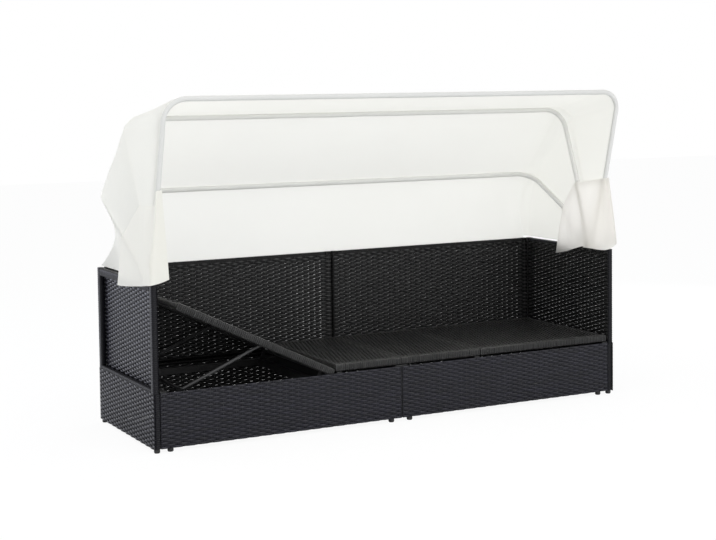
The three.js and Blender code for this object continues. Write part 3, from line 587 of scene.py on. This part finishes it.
def windBar(bundle, low, high, axis, stands=0.5):  # a bar between two corners with a strand wound round it
    low, high = np.array(low, float), np.array(high, float)
    wide, tall = (axis + 1) % 3, (axis + 2) % 3
    size = high - low
    turns = max(2, round(size[axis] / windSet["pitch"]))
    shares = np.append(np.arange(turns)[:, None] + windSet["phases"], turns)
    phase = np.append(np.tile(windSet["phases"], turns), 0)
    rib = np.sin(np.pi * phase) ** 0.5
    winding = np.minimum(shares.astype(int), turns - 1)
    proud = chance.uniform(0, windSet["uneven"], turns)[winding]
    inset = windSet["groove"] * (1 - rib) + proud * rib
    outline = roundedBox(size[wide] / 2, size[tall] / 2, windSet["corner"], windSet["cornerSteps"])
    rings = np.zeros((1, len(shares), len(outline), 3))
    rings[..., [wide, tall]] = outline - np.sign(outline) * inset[:, None, None]
    rings += (low + high) / 2
    rings[..., axis] = (low[axis] + size[axis] * shares / turns)[:, None]
    start = chance.uniform(0, noiseSpread, turns)[winding][:, None]
    place = stacked(runLengths(outline), ((phase - 0.5) * windSet["pitch"])[:, None], start)
    crest = np.concatenate([[windSet["endCrest"]], rib[1:-1], [windSet["endCrest"]]])
    bundle.addRings(rings, crest[:, None], place, stands)


# side and back panels, and the skirts

panelSet = {
    "post": 0.030,
    "skin": 0.0033,
    "midRailLow": 0.195,
    "midRailHigh": 0.225,
    "skinTop": 0.210,
    "skinSink": 0.0019,
    "weaveSink": 0.0024,
    "cover": 0.0040,
    "coverInset": 0.006,
    "coverDrop": 0.014,
    "skirtSink": 0.002,
    "skirtSeam": 0.0022,
}
openSet = {
    "leftSide": (0.075, 0.075),
    "rightSide": (0.11, 0.11),
    "leftBack": (0.115, 0.11, 0.105, 0.125, 0.19),
    "rightBack": (0.105, 0.10, 0.10, 0.11, 0.14),
    "lowerBack": (0.12, 0.12),
    "skin": (-0.10, -0.10),
}


def addPanel(name, node, long, deep, outward):
    # long: the axis the panel runs along, deep: the one it is thick along, outward: the sign of its outer face
    low, high = boxEnds(node + "_frame")
    innerFace, outerFace = (low[deep], high[deep])[::outward]
    post, skinTop = panelSet["post"], panelSet["skinTop"]
    inner, outer = low[long] + post, high[long] - post
    posts = [(span, level, 2) for span in ((low[long], inner), (outer, high[long]))
             for level in ((skinTop, high[2]), (low[2], skinTop))]
    rails = [((inner, outer), level, long) for level in (
        (high[2] - post, high[2]), (skinTop, panelSet["midRailHigh"]),
        (panelSet["midRailLow"], skinTop), (low[2], low[2] + post))]
    wound = Bundle()
    for span, level, axis in posts + rails:
        thin = level[1] <= skinTop
        near = innerFace + (0 if thin else outward * panelSet["cover"])
        far = outerFace - (outward * panelSet["skin"] if thin else 0)
        bar = np.zeros((2, 3))
        bar[:, long], bar[:, deep], bar[:, 2] = span, sorted((near, far)), level
        windBar(wound, *bar, axis)
    # the back panels' frames take a darker copy of the frame tone: painted shade
    wound.piece(name + "Frame", "wrapped_frame", "bed", [node + "_frame"], "backFrame" if deep == 1 else None)

    row = np.zeros(3)
    row[long] = 1
    for part in ("Upper", "Lower"):
        weaveNode = f"{node}_{part.lower()}_weave"
        corner, last = boxEnds(weaveNode)
        if part == "Upper":
            corner[deep] = innerFace + outward * panelSet["weaveSink"]
            corner[long], last[long] = low[long] + panelSet["coverInset"], high[long] - panelSet["coverInset"]
            last[2] = high[2] - panelSet["coverDrop"]
            openShare, finish = openSet[name], "skin"
        else:
            corner[deep] = outerFace - outward * panelSet["skinSink"]
            openShare, finish = openSet["lowerBack" if deep == 1 else "skin"], "lowSkin"
        weave = Bundle()
        weaveField(weave, corner, row, (0, 0, 1), last[long] - corner[long], last[2] - corner[2], openShare)
        # the left side panel takes bluish copies of the weave tone, for the bluish light on it: painted light
        weave.piece(name + part + "Weave", "weave", "bed", [weaveNode], finish if name == "leftSide" else None)


for side, sign in sides.items():
    addPanel(side + "Side", side + "_side", 1, 0, sign)
    addPanel(side + "Back", side + "_back", 0, 1, 1)
    low, high = boxEnds(side + "_front_skirt")
    inset = weaveSet["underFrame"]
    (high if side == "left" else low)[0] += sign * panelSet["skirtSeam"]
    corner = (low[0] + inset, low[1] + panelSet["skirtSink"], low[2] + inset)
    wide, _, tall = high - low - 2 * inset
    skirt = Bundle()
    weaveField(skirt, corner, (1, 0, 0), (0, 0, 1), wide, tall, openSet["skin"], weaveSet["skirtStakePitch"])
    # the skirts take a bluish copy of the weave tone: painted light
    skirt.piece(side + "FrontSkirt", "weave", "bed", [side + "_front_skirt"], "skirt")
print("panels and skirts woven")


# seat panels: strands that wrap the front and back rails, end rails wound by themselves

seatSet = {
    "rail": 0.028,
    "thickness": 0.028,
    "inset": 0.038,
    "steps": 4,
    "rollRadius": 0.006,
    "strandPitch": 0.008,
    "strand": (0.0075, 0.0013),
    "stake": (0.0034, 0.0012),
    "stakeStations": 12,
    "lift": 0.0013,
    "wander": 0.0002,
    "stakeWander": 0.0004,
    "skin": 0.0008,
    "hook": 0.008,
    "hookIn": 0.001,
    "endGap": 0.005,
    "under": 0.0016,
    # railFaceShade: low standing-out value, so the strands' faces round the front and back rails are darker than
    # the top: painted shade
    "railFaceShade": 0.35,
    "topProud": 0.85,
}


def seatStrandPath(front, back):  # round the front rail, over the seat and round the back rail
    rail, roll, skin = seatSet["rail"], seatSet["rollRadius"], seatSet["skin"]
    top = seatSet["thickness"] / 2 - skin
    inner = front + rail - seatSet["hookIn"]

    def corner(y, z, start):
        angles = np.radians(start + np.array([0, -30, -60, -90]))
        return [(y + roll * math.cos(a), z + roll * math.sin(a)) for a in angles]

    edge = [(inner, top - seatSet["hook"]), (inner, 0.0)]
    edge += corner(inner - roll, -top + roll, 0)
    edge += corner(front + skin + roll, -top + roll, 270)
    edge += corner(front + skin + roll, top - roll, 180)
    start, end = front + rail, back - rail
    floats = round((end - start) / weaveSet["stakePitch"])
    shares = np.linspace(0, floats, floats * seatSet["steps"] + 1)
    field = start + shares * (end - start) / floats
    mirror = [(front + back - y, z) for y, z in reversed(edge)]
    path = np.array([*edge, *[(y, top) for y in field], *mirror])
    # painted shade: the faces round the rails darker than the seat's top
    proud = np.full(len(path), seatSet["railFaceShade"])
    proud[len(edge) - 2:2 - len(edge)] = seatSet["topProud"]
    wave, dip = np.zeros((2, len(path)))
    wave[len(edge):-len(edge)] = floatWave(shares)
    dip[len(edge):-len(edge)] = np.minimum(1, np.minimum(shares, floats - shares) * 2)
    return path, wave, dip, proud, start + (np.arange(floats) + 0.5) * (end - start) / floats


def seatPanel(name, body, node, low, high, front, back, matrix):
    rail, half = seatSet["rail"], seatSet["thickness"] / 2
    under, proud = seatSet["under"], seatSet["topProud"]
    ends = Bundle()
    for start in (low, high - rail):
        windBar(ends, (start, front + under, under - half), (start + rail, back - under, half - under), 1, proud)
    ends.move(matrix)
    ends.piece(name + "EndRails", "wrapped_frame", body, [node + "_frame"], "seat")

    path, wave, dip, proud, stakeY = seatStrandPath(front, back)
    rows = round((high - low) / seatSet["strandPitch"])
    across = low + (np.arange(rows) + 0.5) * (high - low) / rows
    wave = wave * alternating(rows)
    x = across[:, None] + wander(rows, len(path), seatSet["wander"])
    centres = stacked(x, path[:, 0], path[:, 1] + seatSet["lift"] * (wave - dip))
    strands = Bundle()
    section = flatSection(*seatSet["strand"])
    stands = np.where(wave[..., None] == 0, proud[:, None], standsOut(wave, section))
    strands.addTubes(centres, np.array((1.0, 0, 0)), section, proud=stands)
    run = np.linspace(low + under, high - under, seatSet["stakeStations"])
    y = stakeY[:, None] + wander(len(stakeY), len(run), seatSet["stakeWander"])
    stakes = stacked(run, y, half - seatSet["skin"] - seatSet["lift"])
    strands.addTubes(stakes, np.array((0, 1.0, 0)), flatSection(*seatSet["stake"]))
    strands.move(matrix)
    strands.piece(name + "Weave", "weave", body, [node + "_weave"], "seat")


seatLift = {"left": 26.0, "right": 0.0}


def lifterReach(side):  # from a lifter's hinge to its free end
    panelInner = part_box(side + "_side_frame")[1 if side == "left" else 0][0]
    return abs(panelInner - jointPlace[side + "_end_lift"][0]) - seatSet["endGap"]


def hinged(joint, degrees):  # onto a joint's axis and turned about it
    x, _, z = jointPlace[joint]
    return Matrix.Translation((x, 0, z)) @ Matrix.Rotation(math.radians(degrees), 4, "Y")


for side, sign in sides.items():
    first, last = boxEnds(side + "_fixed_seat_frame")
    raised = Matrix.Translation((0, 0, (first[2] + last[2]) / 2))
    seatPanel(side + "FixedSeat", "bed", side + "_fixed_seat", first[0], last[0], first[1], last[1], raised)
    span = sorted((-sign * seatSet["inset"], sign * lifterReach(side)))
    raised = hinged(side + "_end_lift", -sign * seatLift[side])
    seatPanel(side + "LiftingSeat", side + "_lifter", side + "_lifter", *span, first[1], last[1], raised)
print("seats woven")


# steel: bows and prop rods

bowSet = {
    "front": {"radius": 0.644, "lean": -14.6, "legX": 0.968},
    "middle": {"radius": 0.586, "lean": 20.4, "legX": 0.950},
    "rear": {"radius": 0.555, "lean": 61.6, "legX": 0.986},
}
tubeSet = {"radius": 0.008, "bend": 0.080, "end": 0.014, "facets": 20, "bendSteps": 10}
propSet = {
    "radius": 0.006,
    "bend": 0.009,
    "facets": 16,
    "bendSteps": 6,
    "clear": 0.0003,
    "pinReach": 0.016,
    "lengthShare": 0.5525,
    "folded": 0.9,
    "ratio": 1.85,
}


def ringSection(radius, facets):
    angles = np.arange(facets) * 2 * np.pi / facets
    return np.stack([radius * np.cos(angles), radius * np.sin(angles)], axis=1)


def bentLine(corners, bend, steps):  # straight runs joined by arcs
    corners = np.array(corners, float)
    line = [corners[0]]
    for before, corner, after in zip(corners[:-2], corners[1:-1], corners[2:]):
        arriving, leaving = unit(corner - before), unit(after - corner)
        start = corner - arriving * bend
        for step in range(steps + 1):
            angle = math.pi / 2 * step / steps
            line.append(start + bend * (arriving * math.sin(angle) + leaving * (1 - math.cos(angle))))
    return np.array([*line, corners[-1]])


def squareTo(bow, tilt=0.0):  # the direction square to a bow's plane
    lean = math.radians(bow["lean"] + tilt)
    return np.array((0, math.cos(lean), -math.sin(lean)))


def bowPlane(bow, x, radius):  # a point of a bow's own plane
    lean = math.radians(bow["lean"])
    return stacked(x, pivot[1] + radius * math.sin(lean), pivot[2] + radius * math.cos(lean))


for name, bow in bowSet.items():
    x, radius = bow["legX"], bow["radius"]
    foot = -tubeSet["end"]
    corners = [(-x, foot, 0), (-x, radius, 0), (x, radius, 0), (x, foot, 0)]
    flat = bentLine(corners, tubeSet["bend"], tubeSet["bendSteps"])
    line = bowPlane(bow, flat[:, 0], flat[:, 1])
    tube = Bundle()
    tube.addTubes(line[None], squareTo(bow), ringSection(tubeSet["radius"], tubeSet["facets"]))
    tube.piece(name + "Bow", "bow_steel", name + "_bow", [name + "_bow"])

for side, sign in sides.items():
    first, last = boxEnds(side + "_fixed_seat_frame")
    front, back = first[1] + seatSet["rail"], last[1] - seatSet["rail"]
    reach = (lifterReach(side) - seatSet["rail"] - propSet["radius"]) * propSet["lengthShare"]
    gap = propSet["bend"] + propSet["clear"]
    pin = propSet["pinReach"]
    corners = [(0, front - pin, 0), (0, front + gap, 0), (sign * reach, front + gap, 0),
               (sign * reach, back - gap, 0), (0, back - gap, 0), (0, back + pin, 0)]
    line = bentLine(corners, propSet["bend"], propSet["bendSteps"])
    rod = Bundle()
    rod.addTubes(line[None], np.array((0, 0, 1.0)), ringSection(propSet["radius"], propSet["facets"]))
    fallen = propSet["folded"] + seatLift[side] * (propSet["ratio"] - 1)
    rod.move(hinged(side + "_prop_swing", sign * fallen))
    rod.piece(side + "PropRod", "rod_steel", side + "_prop", [side + "_prop_rod"])
print("steel bent")


# canopy cloth

# corners: how tightly the cloth turns at a bow's bends, slack: how far it stands out past the bow at its foot
# and at its bend, and how far it hangs down there
clothSet = {
    "thickness": 0.0009,
    "lift": 0.0098,
    "skirtStart": 0.260,
    "corners": {"front": 0.080, "middle": 0.040, "rear": 0.030},
    "slack": {"front": (0, 0, 0), "middle": (0.018, 0.034, 0.012), "rear": (0, 0, 0)},
    "seamLap": 0.0008,
    "wrinkle": 0.0022,
}
legEnd, bendEnd, middleColumn = 3.0, 8.0, 13.0  # columns of a sheet, from its nearer end
columnMost = 2 * middleColumn
columnSteps = 6
columns = np.linspace(0, columnMost, int(columnMost) * columnSteps + 1)


def fromFoot(column):
    return np.minimum(column, columnMost - column)


def alongBow(column):  # side, and how far along the leg, round the bend (an angle) and along the bar
    near = fromFoot(column)
    side = np.where(column < middleColumn, -1.0, 1.0)
    angle = np.clip((near - legEnd) / (bendEnd - legEnd), 0, 1) * np.pi / 2
    return side, np.clip(near / legEnd, 0, 1), angle, np.clip((near - bendEnd) / (middleColumn - bendEnd), 0, 1)


def bowEdge(bow, column, lift, bend=tubeSet["bend"], slack=(0, 0, 0)):  # lift: away from the bow's middle line
    side, leg, angle, bar = alongBow(column)
    start, bendStart = clothSet["skirtStart"], bow["radius"] - bend
    x = (bow["legX"] - bend) * (1 - bar) + (bend + lift) * np.cos(angle)
    x += (slack[0] + (slack[1] - slack[0]) * leg) * (1 - bar)
    radius = start + (bendStart - start) * leg + (bend + lift) * np.sin(angle) - slack[2] * np.sin(2 * angle)
    return bowPlane(bow, side * x, radius)


def clothEdge(key, lift=clothSet["lift"]):
    return bowEdge(bowSet[key], columns, lift, clothSet["corners"][key], clothSet["slack"][key])


crossedWaves = {"count": 6, "first": 9, "finer": 1.55, "weaker": 1.5, "whole": 2.2}


def smoothNoise(place, seed):  # a few crossed waves, so that it is smooth and always the same
    waves = np.random.default_rng(seed)
    total = np.zeros(place.shape[:-1])
    for octave in range(crossedWaves["count"]):
        direction = unit(waves.normal(0, 1, 2))
        frequency = crossedWaves["first"] * crossedWaves["finer"] ** octave
        wave = np.sin(frequency * (place @ direction) + waves.uniform(0, 6.28))
        total += wave / crossedWaves["weaker"] ** octave
    return total / crossedWaves["whole"]


def gridNormals(points):
    return unit(np.cross(np.gradient(points, axis=1), np.gradient(points, axis=0)))


def gridPlace(points):  # metres across and down the cloth
    return stacked(runLengths(points).mean(axis=0), runLengths(points.swapaxes(0, 1)).T, 0.0)


def rippled(points, height, stretch, seed, free, sag=0.0):  # free: how far each point is from what holds it
    ripple = height * smoothNoise(gridPlace(points)[..., :2] * stretch, seed) * free
    return points + gridNormals(points) * (ripple - sag)[..., None]


def keepRimSharp(mesh, rows, across):  # so that the shading does not turn at a sheet's edges
    ends = np.zeros(len(mesh.edges) * 2, np.int32)
    mesh.edges.foreach_get("vertices", ends)
    row, column = np.divmod(ends.reshape(-1, 2), across)
    borders = ((row, 0), (row, rows - 1), (column, 0), (column, across - 1))
    rim = np.any([(line == border).all(axis=1) for line, border in borders], axis=0)
    mesh.attributes.new("sharp_edge", "BOOLEAN", "EDGE").data.foreach_set("value", rim)


def thicken(piece, offset):
    thick = piece.modifiers.new("thickness", "SOLIDIFY")
    thick.thickness = clothSet["thickness"]
    thick.offset = offset


def clothPiece(name, points, held, replaced, finish=None):
    rows, across = points.shape[:2]
    index = np.arange(rows * across).reshape(rows, across)
    quads = np.stack([index[:-1, :-1], index[1:, :-1], index[1:, 1:], index[:-1, 1:]], axis=-1).reshape(-1, 4)
    hemAway = np.linalg.norm(points - points[-1:], axis=2) if held == "hung" else np.ones((rows, across))
    traits = {"hemAway": hemAway, "clothPlace": gridPlace(points)}
    piece = makePiece(name, points.reshape(-1, 3), [quads], "canopy_cloth", None, replaced, traits, finish)
    keepRimSharp(piece.data, rows, across)
    thicken(piece, 0)
    a, b, c, d = points[:-1, :-1], points[1:, 1:], points[1:, :-1], points[:-1, 1:]
    halves = (np.cross(c - a, b - a), np.cross(b - a, d - a))
    area = float(sum(np.linalg.norm(half, axis=2) for half in halves).sum() / 2)
    wide, tall = (float(runLengths(lines)[:, -1].max()) for lines in (points, points.swapaxes(0, 1)))
    flat, area = (round(wide, 3), round(tall, 3)), round(min(area, wide * tall), 4)
    return piece


def blendByAngle(piece):
    # the points are laid out by their angle about the bows' bolt while the object's transform is baked, then put
    # back
    mesh = piece.data
    kept = np.zeros(len(mesh.vertices) * 3, np.float32)
    mesh.vertices.foreach_get("co", kept)
    place = kept.reshape(-1, 3)
    laid = np.zeros_like(place)
    laid[:, 0] = np.degrees(np.arctan2(place[:, 1] - pivot[1], place[:, 2] - pivot[2]))
    mesh.vertices.foreach_set("co", laid.ravel())
    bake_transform(piece)
    mesh.vertices.foreach_set("co", kept)
    mesh.update()


roofSet = {"rows": 22, "sag": {"front": 0.014, "rear": 0.016}, "free": 0.6, "ripples": (0.5, 1.4)}


def addRoof(which, ahead, behind, seed):
    first, last = clothEdge(ahead), clothEdge(behind)
    lap = clothSet["seamLap"] / np.linalg.norm(last - first, axis=1)[None, :, None]
    down = np.linspace(0, 1, roofSet["rows"] + 1)[:, None, None]
    taut = first + (last - first) * (down * (1 + 2 * lap) - lap)
    between = np.sin(np.pi * down[..., 0])
    bar = alongBow(columns)[-1]
    sag = roofSet["sag"][which] * np.sin(np.pi / 2 * bar) * between
    points = rippled(taut, clothSet["wrinkle"], roofSet["ripples"], seed, between ** roofSet["free"], sag)
    piece = clothPiece(which + "Roof", points, "stretched", [which + "_roof_cloth"])
    blendByAngle(piece)


# neck: how far the sheet is drawn in at the left and right, most at neckAt of the way down
backSet = {
    "rows": 40,
    "lap": 0.015,
    "clear": 0.003,
    "sideX": 0.9875,
    "corner": 0.025,
    "hemRise": 0.008,
    "hemFront": 0.030,
    "dropFrom": 7,
    "neck": (0.085, 0.028),
    "neckAt": 0.55,
    "neckColumn": 5.5,
    "neckColumns": 7.0,
    "neckReach": 0.25,
    "free": (0.8, 0.7),
    "wrinkle": 1.4,
    "ripples": (1.6, 0.6),
    "hemLean": 93.0,
}


def backHem():
    side, leg, angle, bar = alongBow(columns)
    corner, start = backSet["corner"], bedMiddle + backSet["hemFront"]
    x = (backSet["sideX"] - corner * (1 - np.cos(angle))) * (1 - bar)
    y = start + (backY + backSet["clear"] - corner - start) * leg + corner * np.sin(angle)
    drop = np.clip(fromFoot(columns) - backSet["dropFrom"], 0, 1)
    z = sideTop + backSet["hemRise"] * (1 - drop) - backSet["lap"] * drop
    return stacked(side * x, y, z)


def addBackSheet():
    down = np.linspace(0, 1, backSet["rows"] + 1)[:, None]
    edge, hem = clothEdge("rear"), backHem()
    lap = clothSet["seamLap"] / np.linalg.norm(hem - clothEdge("rear", 0), axis=1)
    lapped = (down * (1 + lap) - lap)[..., None]
    points = edge * (1 - lapped) + hem * lapped
    near = fromFoot(columns) - backSet["neckColumn"]
    drawn = np.sin(np.pi * down ** (math.log(0.5) / math.log(backSet["neckAt"])))
    neck = np.where(columns < middleColumn, backSet["neck"][0], -backSet["neck"][1])
    out = np.abs(points[..., 0])
    inward = (out.max(axis=1, keepdims=True) - out) / backSet["neckReach"]
    pull = np.where(near < 0, np.exp(-near**2 / (2 * backSet["neckColumns"])), np.exp(-inward**2))
    points[..., 0] += neck * pull * np.maximum(drawn, 0)
    free = np.sin(np.pi * down ** backSet["free"][0]) ** backSet["free"][1]
    points = rippled(points, clothSet["wrinkle"] * backSet["wrinkle"], backSet["ripples"], 5, free)
    piece = clothPiece("backSheet", points, "hung", ["back_cloth"])
    blendByAngle(piece)


# legs: painted light and shade, added to the share of the paler cloth colour, at a leg and at the bar
sleeveSet = {
    "radius": 0.0094,
    "stations": 209,
    "facets": 20,
    "turn": 0.02,
    "legs": (0.3, -0.15),
    "puff": 0.035,
    "ripples": 4,
}


def addSleeve(name, bow):
    count, facets, radius = sleeveSet["stations"], sleeveSet["facets"], sleeveSet["radius"]
    column = np.linspace(0, columnMost, count)
    line = bowEdge(bow, column, 0)
    tube = Bundle()
    tube.addTubes(line[None], squareTo(bow), ringSection(radius, facets))
    rings = tube.points[0].reshape(count, facets, 3)
    middle = rings.mean(axis=1, keepdims=True)
    along = runLengths(line)
    angles = np.arange(facets) * 2 * np.pi / facets
    place = stacked(along[:, None], angles * sleeveSet["turn"], 0.0)
    puffed = 1 + sleeveSet["puff"] * smoothNoise(place[..., :2] * sleeveSet["ripples"], 3)
    rings = middle + (rings - middle) * puffed[..., None]
    # painted light on the legs, painted shade on the bar
    legs = np.interp(fromFoot(column), (legEnd, bendEnd), sleeveSet["legs"])
    traits = {"hemAway": np.ones((count, facets)), "leg": np.repeat(legs, facets), "clothPlace": place}
    # the front sleeve takes the darkest copy of the cloth: painted shade
    look = "frontSleeve" if name == "front" else "sleeve"
    points, node = rings.reshape(-1, 3), name + "_bow"
    piece = makePiece(name + "Sleeve", points, tube.faces, "canopy_cloth", node, (), traits, look)
    thicken(piece, -1)


# Hem places of the left flap: out from the middle, back from it and up, as shares of the bed's half length,
# half depth and height.
leftHemShares = [
    (0.940, -1.062, 1.025), (0.972, -1.065, 1.008), (1.006, -1.052, 0.996), (1.011, -0.95, 0.990),
    (1.012, -0.8, 0.980), (1.012, -0.6, 0.969), (1.012, -0.4, 0.957), (1.012, -0.2, 0.947),
    (1.012, -0.02, 0.940), (1.01, 0.1, 0.936),
]
flapTopShares = np.array([0, 0.06, 0.14, 0.3, 0.42, 0.54, 0.66, 0.78, 0.9, 1])
flapKnots = np.array([0, 0.07, 0.14, 0.54, 1])

# Right flap, which hangs inside the legs: from its outer front edge round the front leg and back to the
# rear leg, each row a place at the top, half way and at the hem, in the bed's own frame.
rightFlapPlaces = [
    ((0.981, -0.270, 0.892), (1.000, -0.262, 0.750), (1.004, -0.254, 0.634)),
    ((0.982, -0.298, 0.894), (0.998, -0.304, 0.750), (1.009, -0.306, 0.629)),
    ((0.968, -0.301, 0.894), (0.983, -0.318, 0.748), (0.994, -0.330, 0.622)),
    ((0.956, -0.294, 0.892), (0.958, -0.310, 0.740), (0.966, -0.319, 0.603)),
    ((0.948, -0.252, 0.886), (0.942, -0.272, 0.738), (0.948, -0.286, 0.598)),
    ((0.939, -0.192, 0.876), (0.930, -0.216, 0.735), (0.925, -0.234, 0.604)),
    ((0.938, -0.129, 0.868), (0.934, -0.163, 0.733), (0.926, -0.192, 0.606)),
    ((0.944, -0.083, 0.829), (0.927, -0.103, 0.712), (0.930, -0.126, 0.590)),
    ((0.957, -0.037, 0.790), (0.948, -0.043, 0.683), (0.947, -0.050, 0.572)),
    ((0.972, 0.008, 0.750), (0.960, 0.020, 0.655), (0.955, 0.036, 0.556)),
]

# knee: where the left flap bends over the side panel
# nutKneeX: the same in front of the bolt, which stands out
flapSet = {
    "columns": 27,
    "rows": 8,
    "folds": 4,
    "foldDepth": 0.0008,
    "finer": {"hem": 40, "left": (5, 5), "right": (18, 12)},
    "kneeX": 0.998,
    "nutKneeX": 1.0073,
    "pastNut": 0.08,
    "frontKnee": 0.7,
    "hug": 0.0012,
    "frontReturn": 0.010,
    "returnRise": 0.055,
    "returnLift": 0.0112,
    "upLap": 0.0008,
    "foldTilt": 8.0,
    "foldGap": 0.0065,
    "foldKeep": 0.085,
    "ripple": 0.0012,
    "ripples": (1.8, 0.7),
}


def smoothStep(value):
    value = np.clip(value, 0, 1)
    return value * value * (3 - 2 * value)


def finer(grid, steps, axis):  # a smooth curve through the rows of a grid
    grid = np.moveaxis(grid, axis, 0)
    before = np.concatenate([2 * grid[:1] - grid[1:2], grid[:-1]])
    after = np.concatenate([grid[1:], 2 * grid[-1:] - grid[-2:-1]])
    p0, p1, p2, p3 = before[:-1], grid[:-1], grid[1:], after[1:]
    parts = []
    for step in range(steps):
        t = step / steps
        square, cube = 2 * p0 - 5 * p1 + 4 * p2 - p3, 3 * p1 - p0 - 3 * p2 + p3
        parts.append(0.5 * (2 * p1 + (p2 - p0) * t + square * t**2 + cube * t**3))
    fine = np.stack(parts, axis=1).reshape(-1, *grid.shape[1:])
    return np.moveaxis(np.concatenate([fine, grid[-1:]]), 0, axis)


def placesAt(wanted, knots, places):
    return np.stack([np.interp(wanted, knots, places[:, axis]) for axis in range(3)], axis=1)


def leftFlapPlaces():
    places = np.array(leftHemShares) * (-1.0, halfDepth, sideTop)
    places[:, 1] += bedMiddle
    steps = flapSet["finer"]["hem"]
    hemLine = finer(places, steps, 0)
    wanted = np.linspace(0, 1, flapSet["columns"] + 1)
    knot = np.interp(wanted, flapTopShares, np.arange(len(flapTopShares)))
    low = placesAt(knot * steps, np.arange(len(hemLine)), hemLine)
    start, lift = clothSet["skirtStart"] + flapSet["upLap"], clothSet["lift"] - flapSet["hug"]
    returnTop = bowPlane(bowSet["front"], -bowSet["front"]["legX"], start + flapSet["returnRise"])
    stoodOut = -flapSet["returnLift"]
    tops = [returnTop + (x, stoodOut, 0) for x in (flapSet["frontReturn"], stoodOut)]
    for key, bow in bowSet.items():
        tops.append(bowPlane(bow, -bow["legX"], start) - (lift + clothSet["slack"][key][0], 0, 0))
    top = placesAt(wanted, flapKnots, np.array(tops))

    lean = math.radians(bowSet["rear"]["lean"])
    middleY = (top[:, 1] + low[:, 1]) / 2
    under = pivot[2] + (middleY - pivot[1]) / math.tan(lean) - tubeSet["radius"] / math.sin(lean)
    rows = flapSet["rows"]
    legShare = np.minimum((top[:, 2] - under) / (top[:, 2] - low[:, 2]), 1 - 1 / rows)
    knee = np.where(middleY > pivot[1], legShare, flapSet["frontKnee"])
    row, half = np.arange(rows + 1)[:, None], rows / 2
    down = np.where(row <= half, knee * row / half, knee + (1 - knee) * (row - half) / half)
    points = top * (1 - down[..., None]) + low * down[..., None]
    rounded = np.minimum(wanted / flapKnots[2], 1)
    pastNut = smoothStep((middleY - pivot[1]) / flapSet["pastNut"])
    pushed = -(flapSet["nutKneeX"] * (1 - pastNut) + flapSet["kneeX"] * pastNut)
    kneeX = (top[:, 0] * (1 - knee) + low[:, 0] * knee) * (1 - rounded) + pushed * rounded
    upper = top[:, 0] + (kneeX - top[:, 0]) * np.minimum(down / knee, 1)
    lower = kneeX + (low[:, 0] - kneeX) * (down - knee) / (1 - knee)
    fold = (1 - np.cos(2 * np.pi * flapSet["folds"] * wanted)) / 2
    points[..., 0] = np.where(row <= half, upper, lower) - flapSet["foldDepth"] * fold * rounded * down**2
    return points


def addFlap(side, places, seed):
    downSteps, acrossSteps = flapSet["finer"][side]
    points = finer(finer(places, downSteps, 0), acrossSteps, 1)
    free = np.sin(np.pi * np.linspace(0, 1, len(points))[:, None] * 0.5)
    points = rippled(points, flapSet["ripple"], flapSet["ripples"], seed, free)
    # each flap takes its own darker copy of the cloth: painted shade
    replaced, finish = [side + "_flap_cloth"], side + "Flap"
    piece = clothPiece(side + "Flap", points, "hung", replaced, finish)
    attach(piece, "middle_bow")
    axis = squareTo(bowSet["middle"], flapSet["foldTilt"])
    foot = bowPlane(bowSet["middle"], 0, clothSet["skirtStart"]) - axis * flapSet["foldGap"]
    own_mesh(piece)


for name, bow in bowSet.items():
    addSleeve(name, bow)
addRoof("front", "front", "middle", 1)
addRoof("rear", "middle", "rear", 2)
addBackSheet()
addFlap("left", leftFlapPlaces(), 8)
addFlap("right", np.array(rightFlapPlaces).transpose(1, 0, 2) + (0, bedMiddle, 0), 9)
print("canopy hung")


# CAD pieces that stay, with their own finishes

keptFinish = {
    "foot": "foot_plastic",
    "glide": "foot_plastic",
    "bolt": "zinc_fastener",
    "nut": "zinc_fastener",
    "bracket": "bow_steel",
    "rest_bar": "rod_steel",
}
for node, piece in frame["nodes"].items():
    if piece.hide_render:
        continue
    finish = next((finish for word, finish in keptFinish.items() if word in node), "base_tube")
    piece.data.materials.clear()
    piece.data.materials.append(finishes[finish])
    print("kept", node, finish)

bpy.context.view_layer.update()
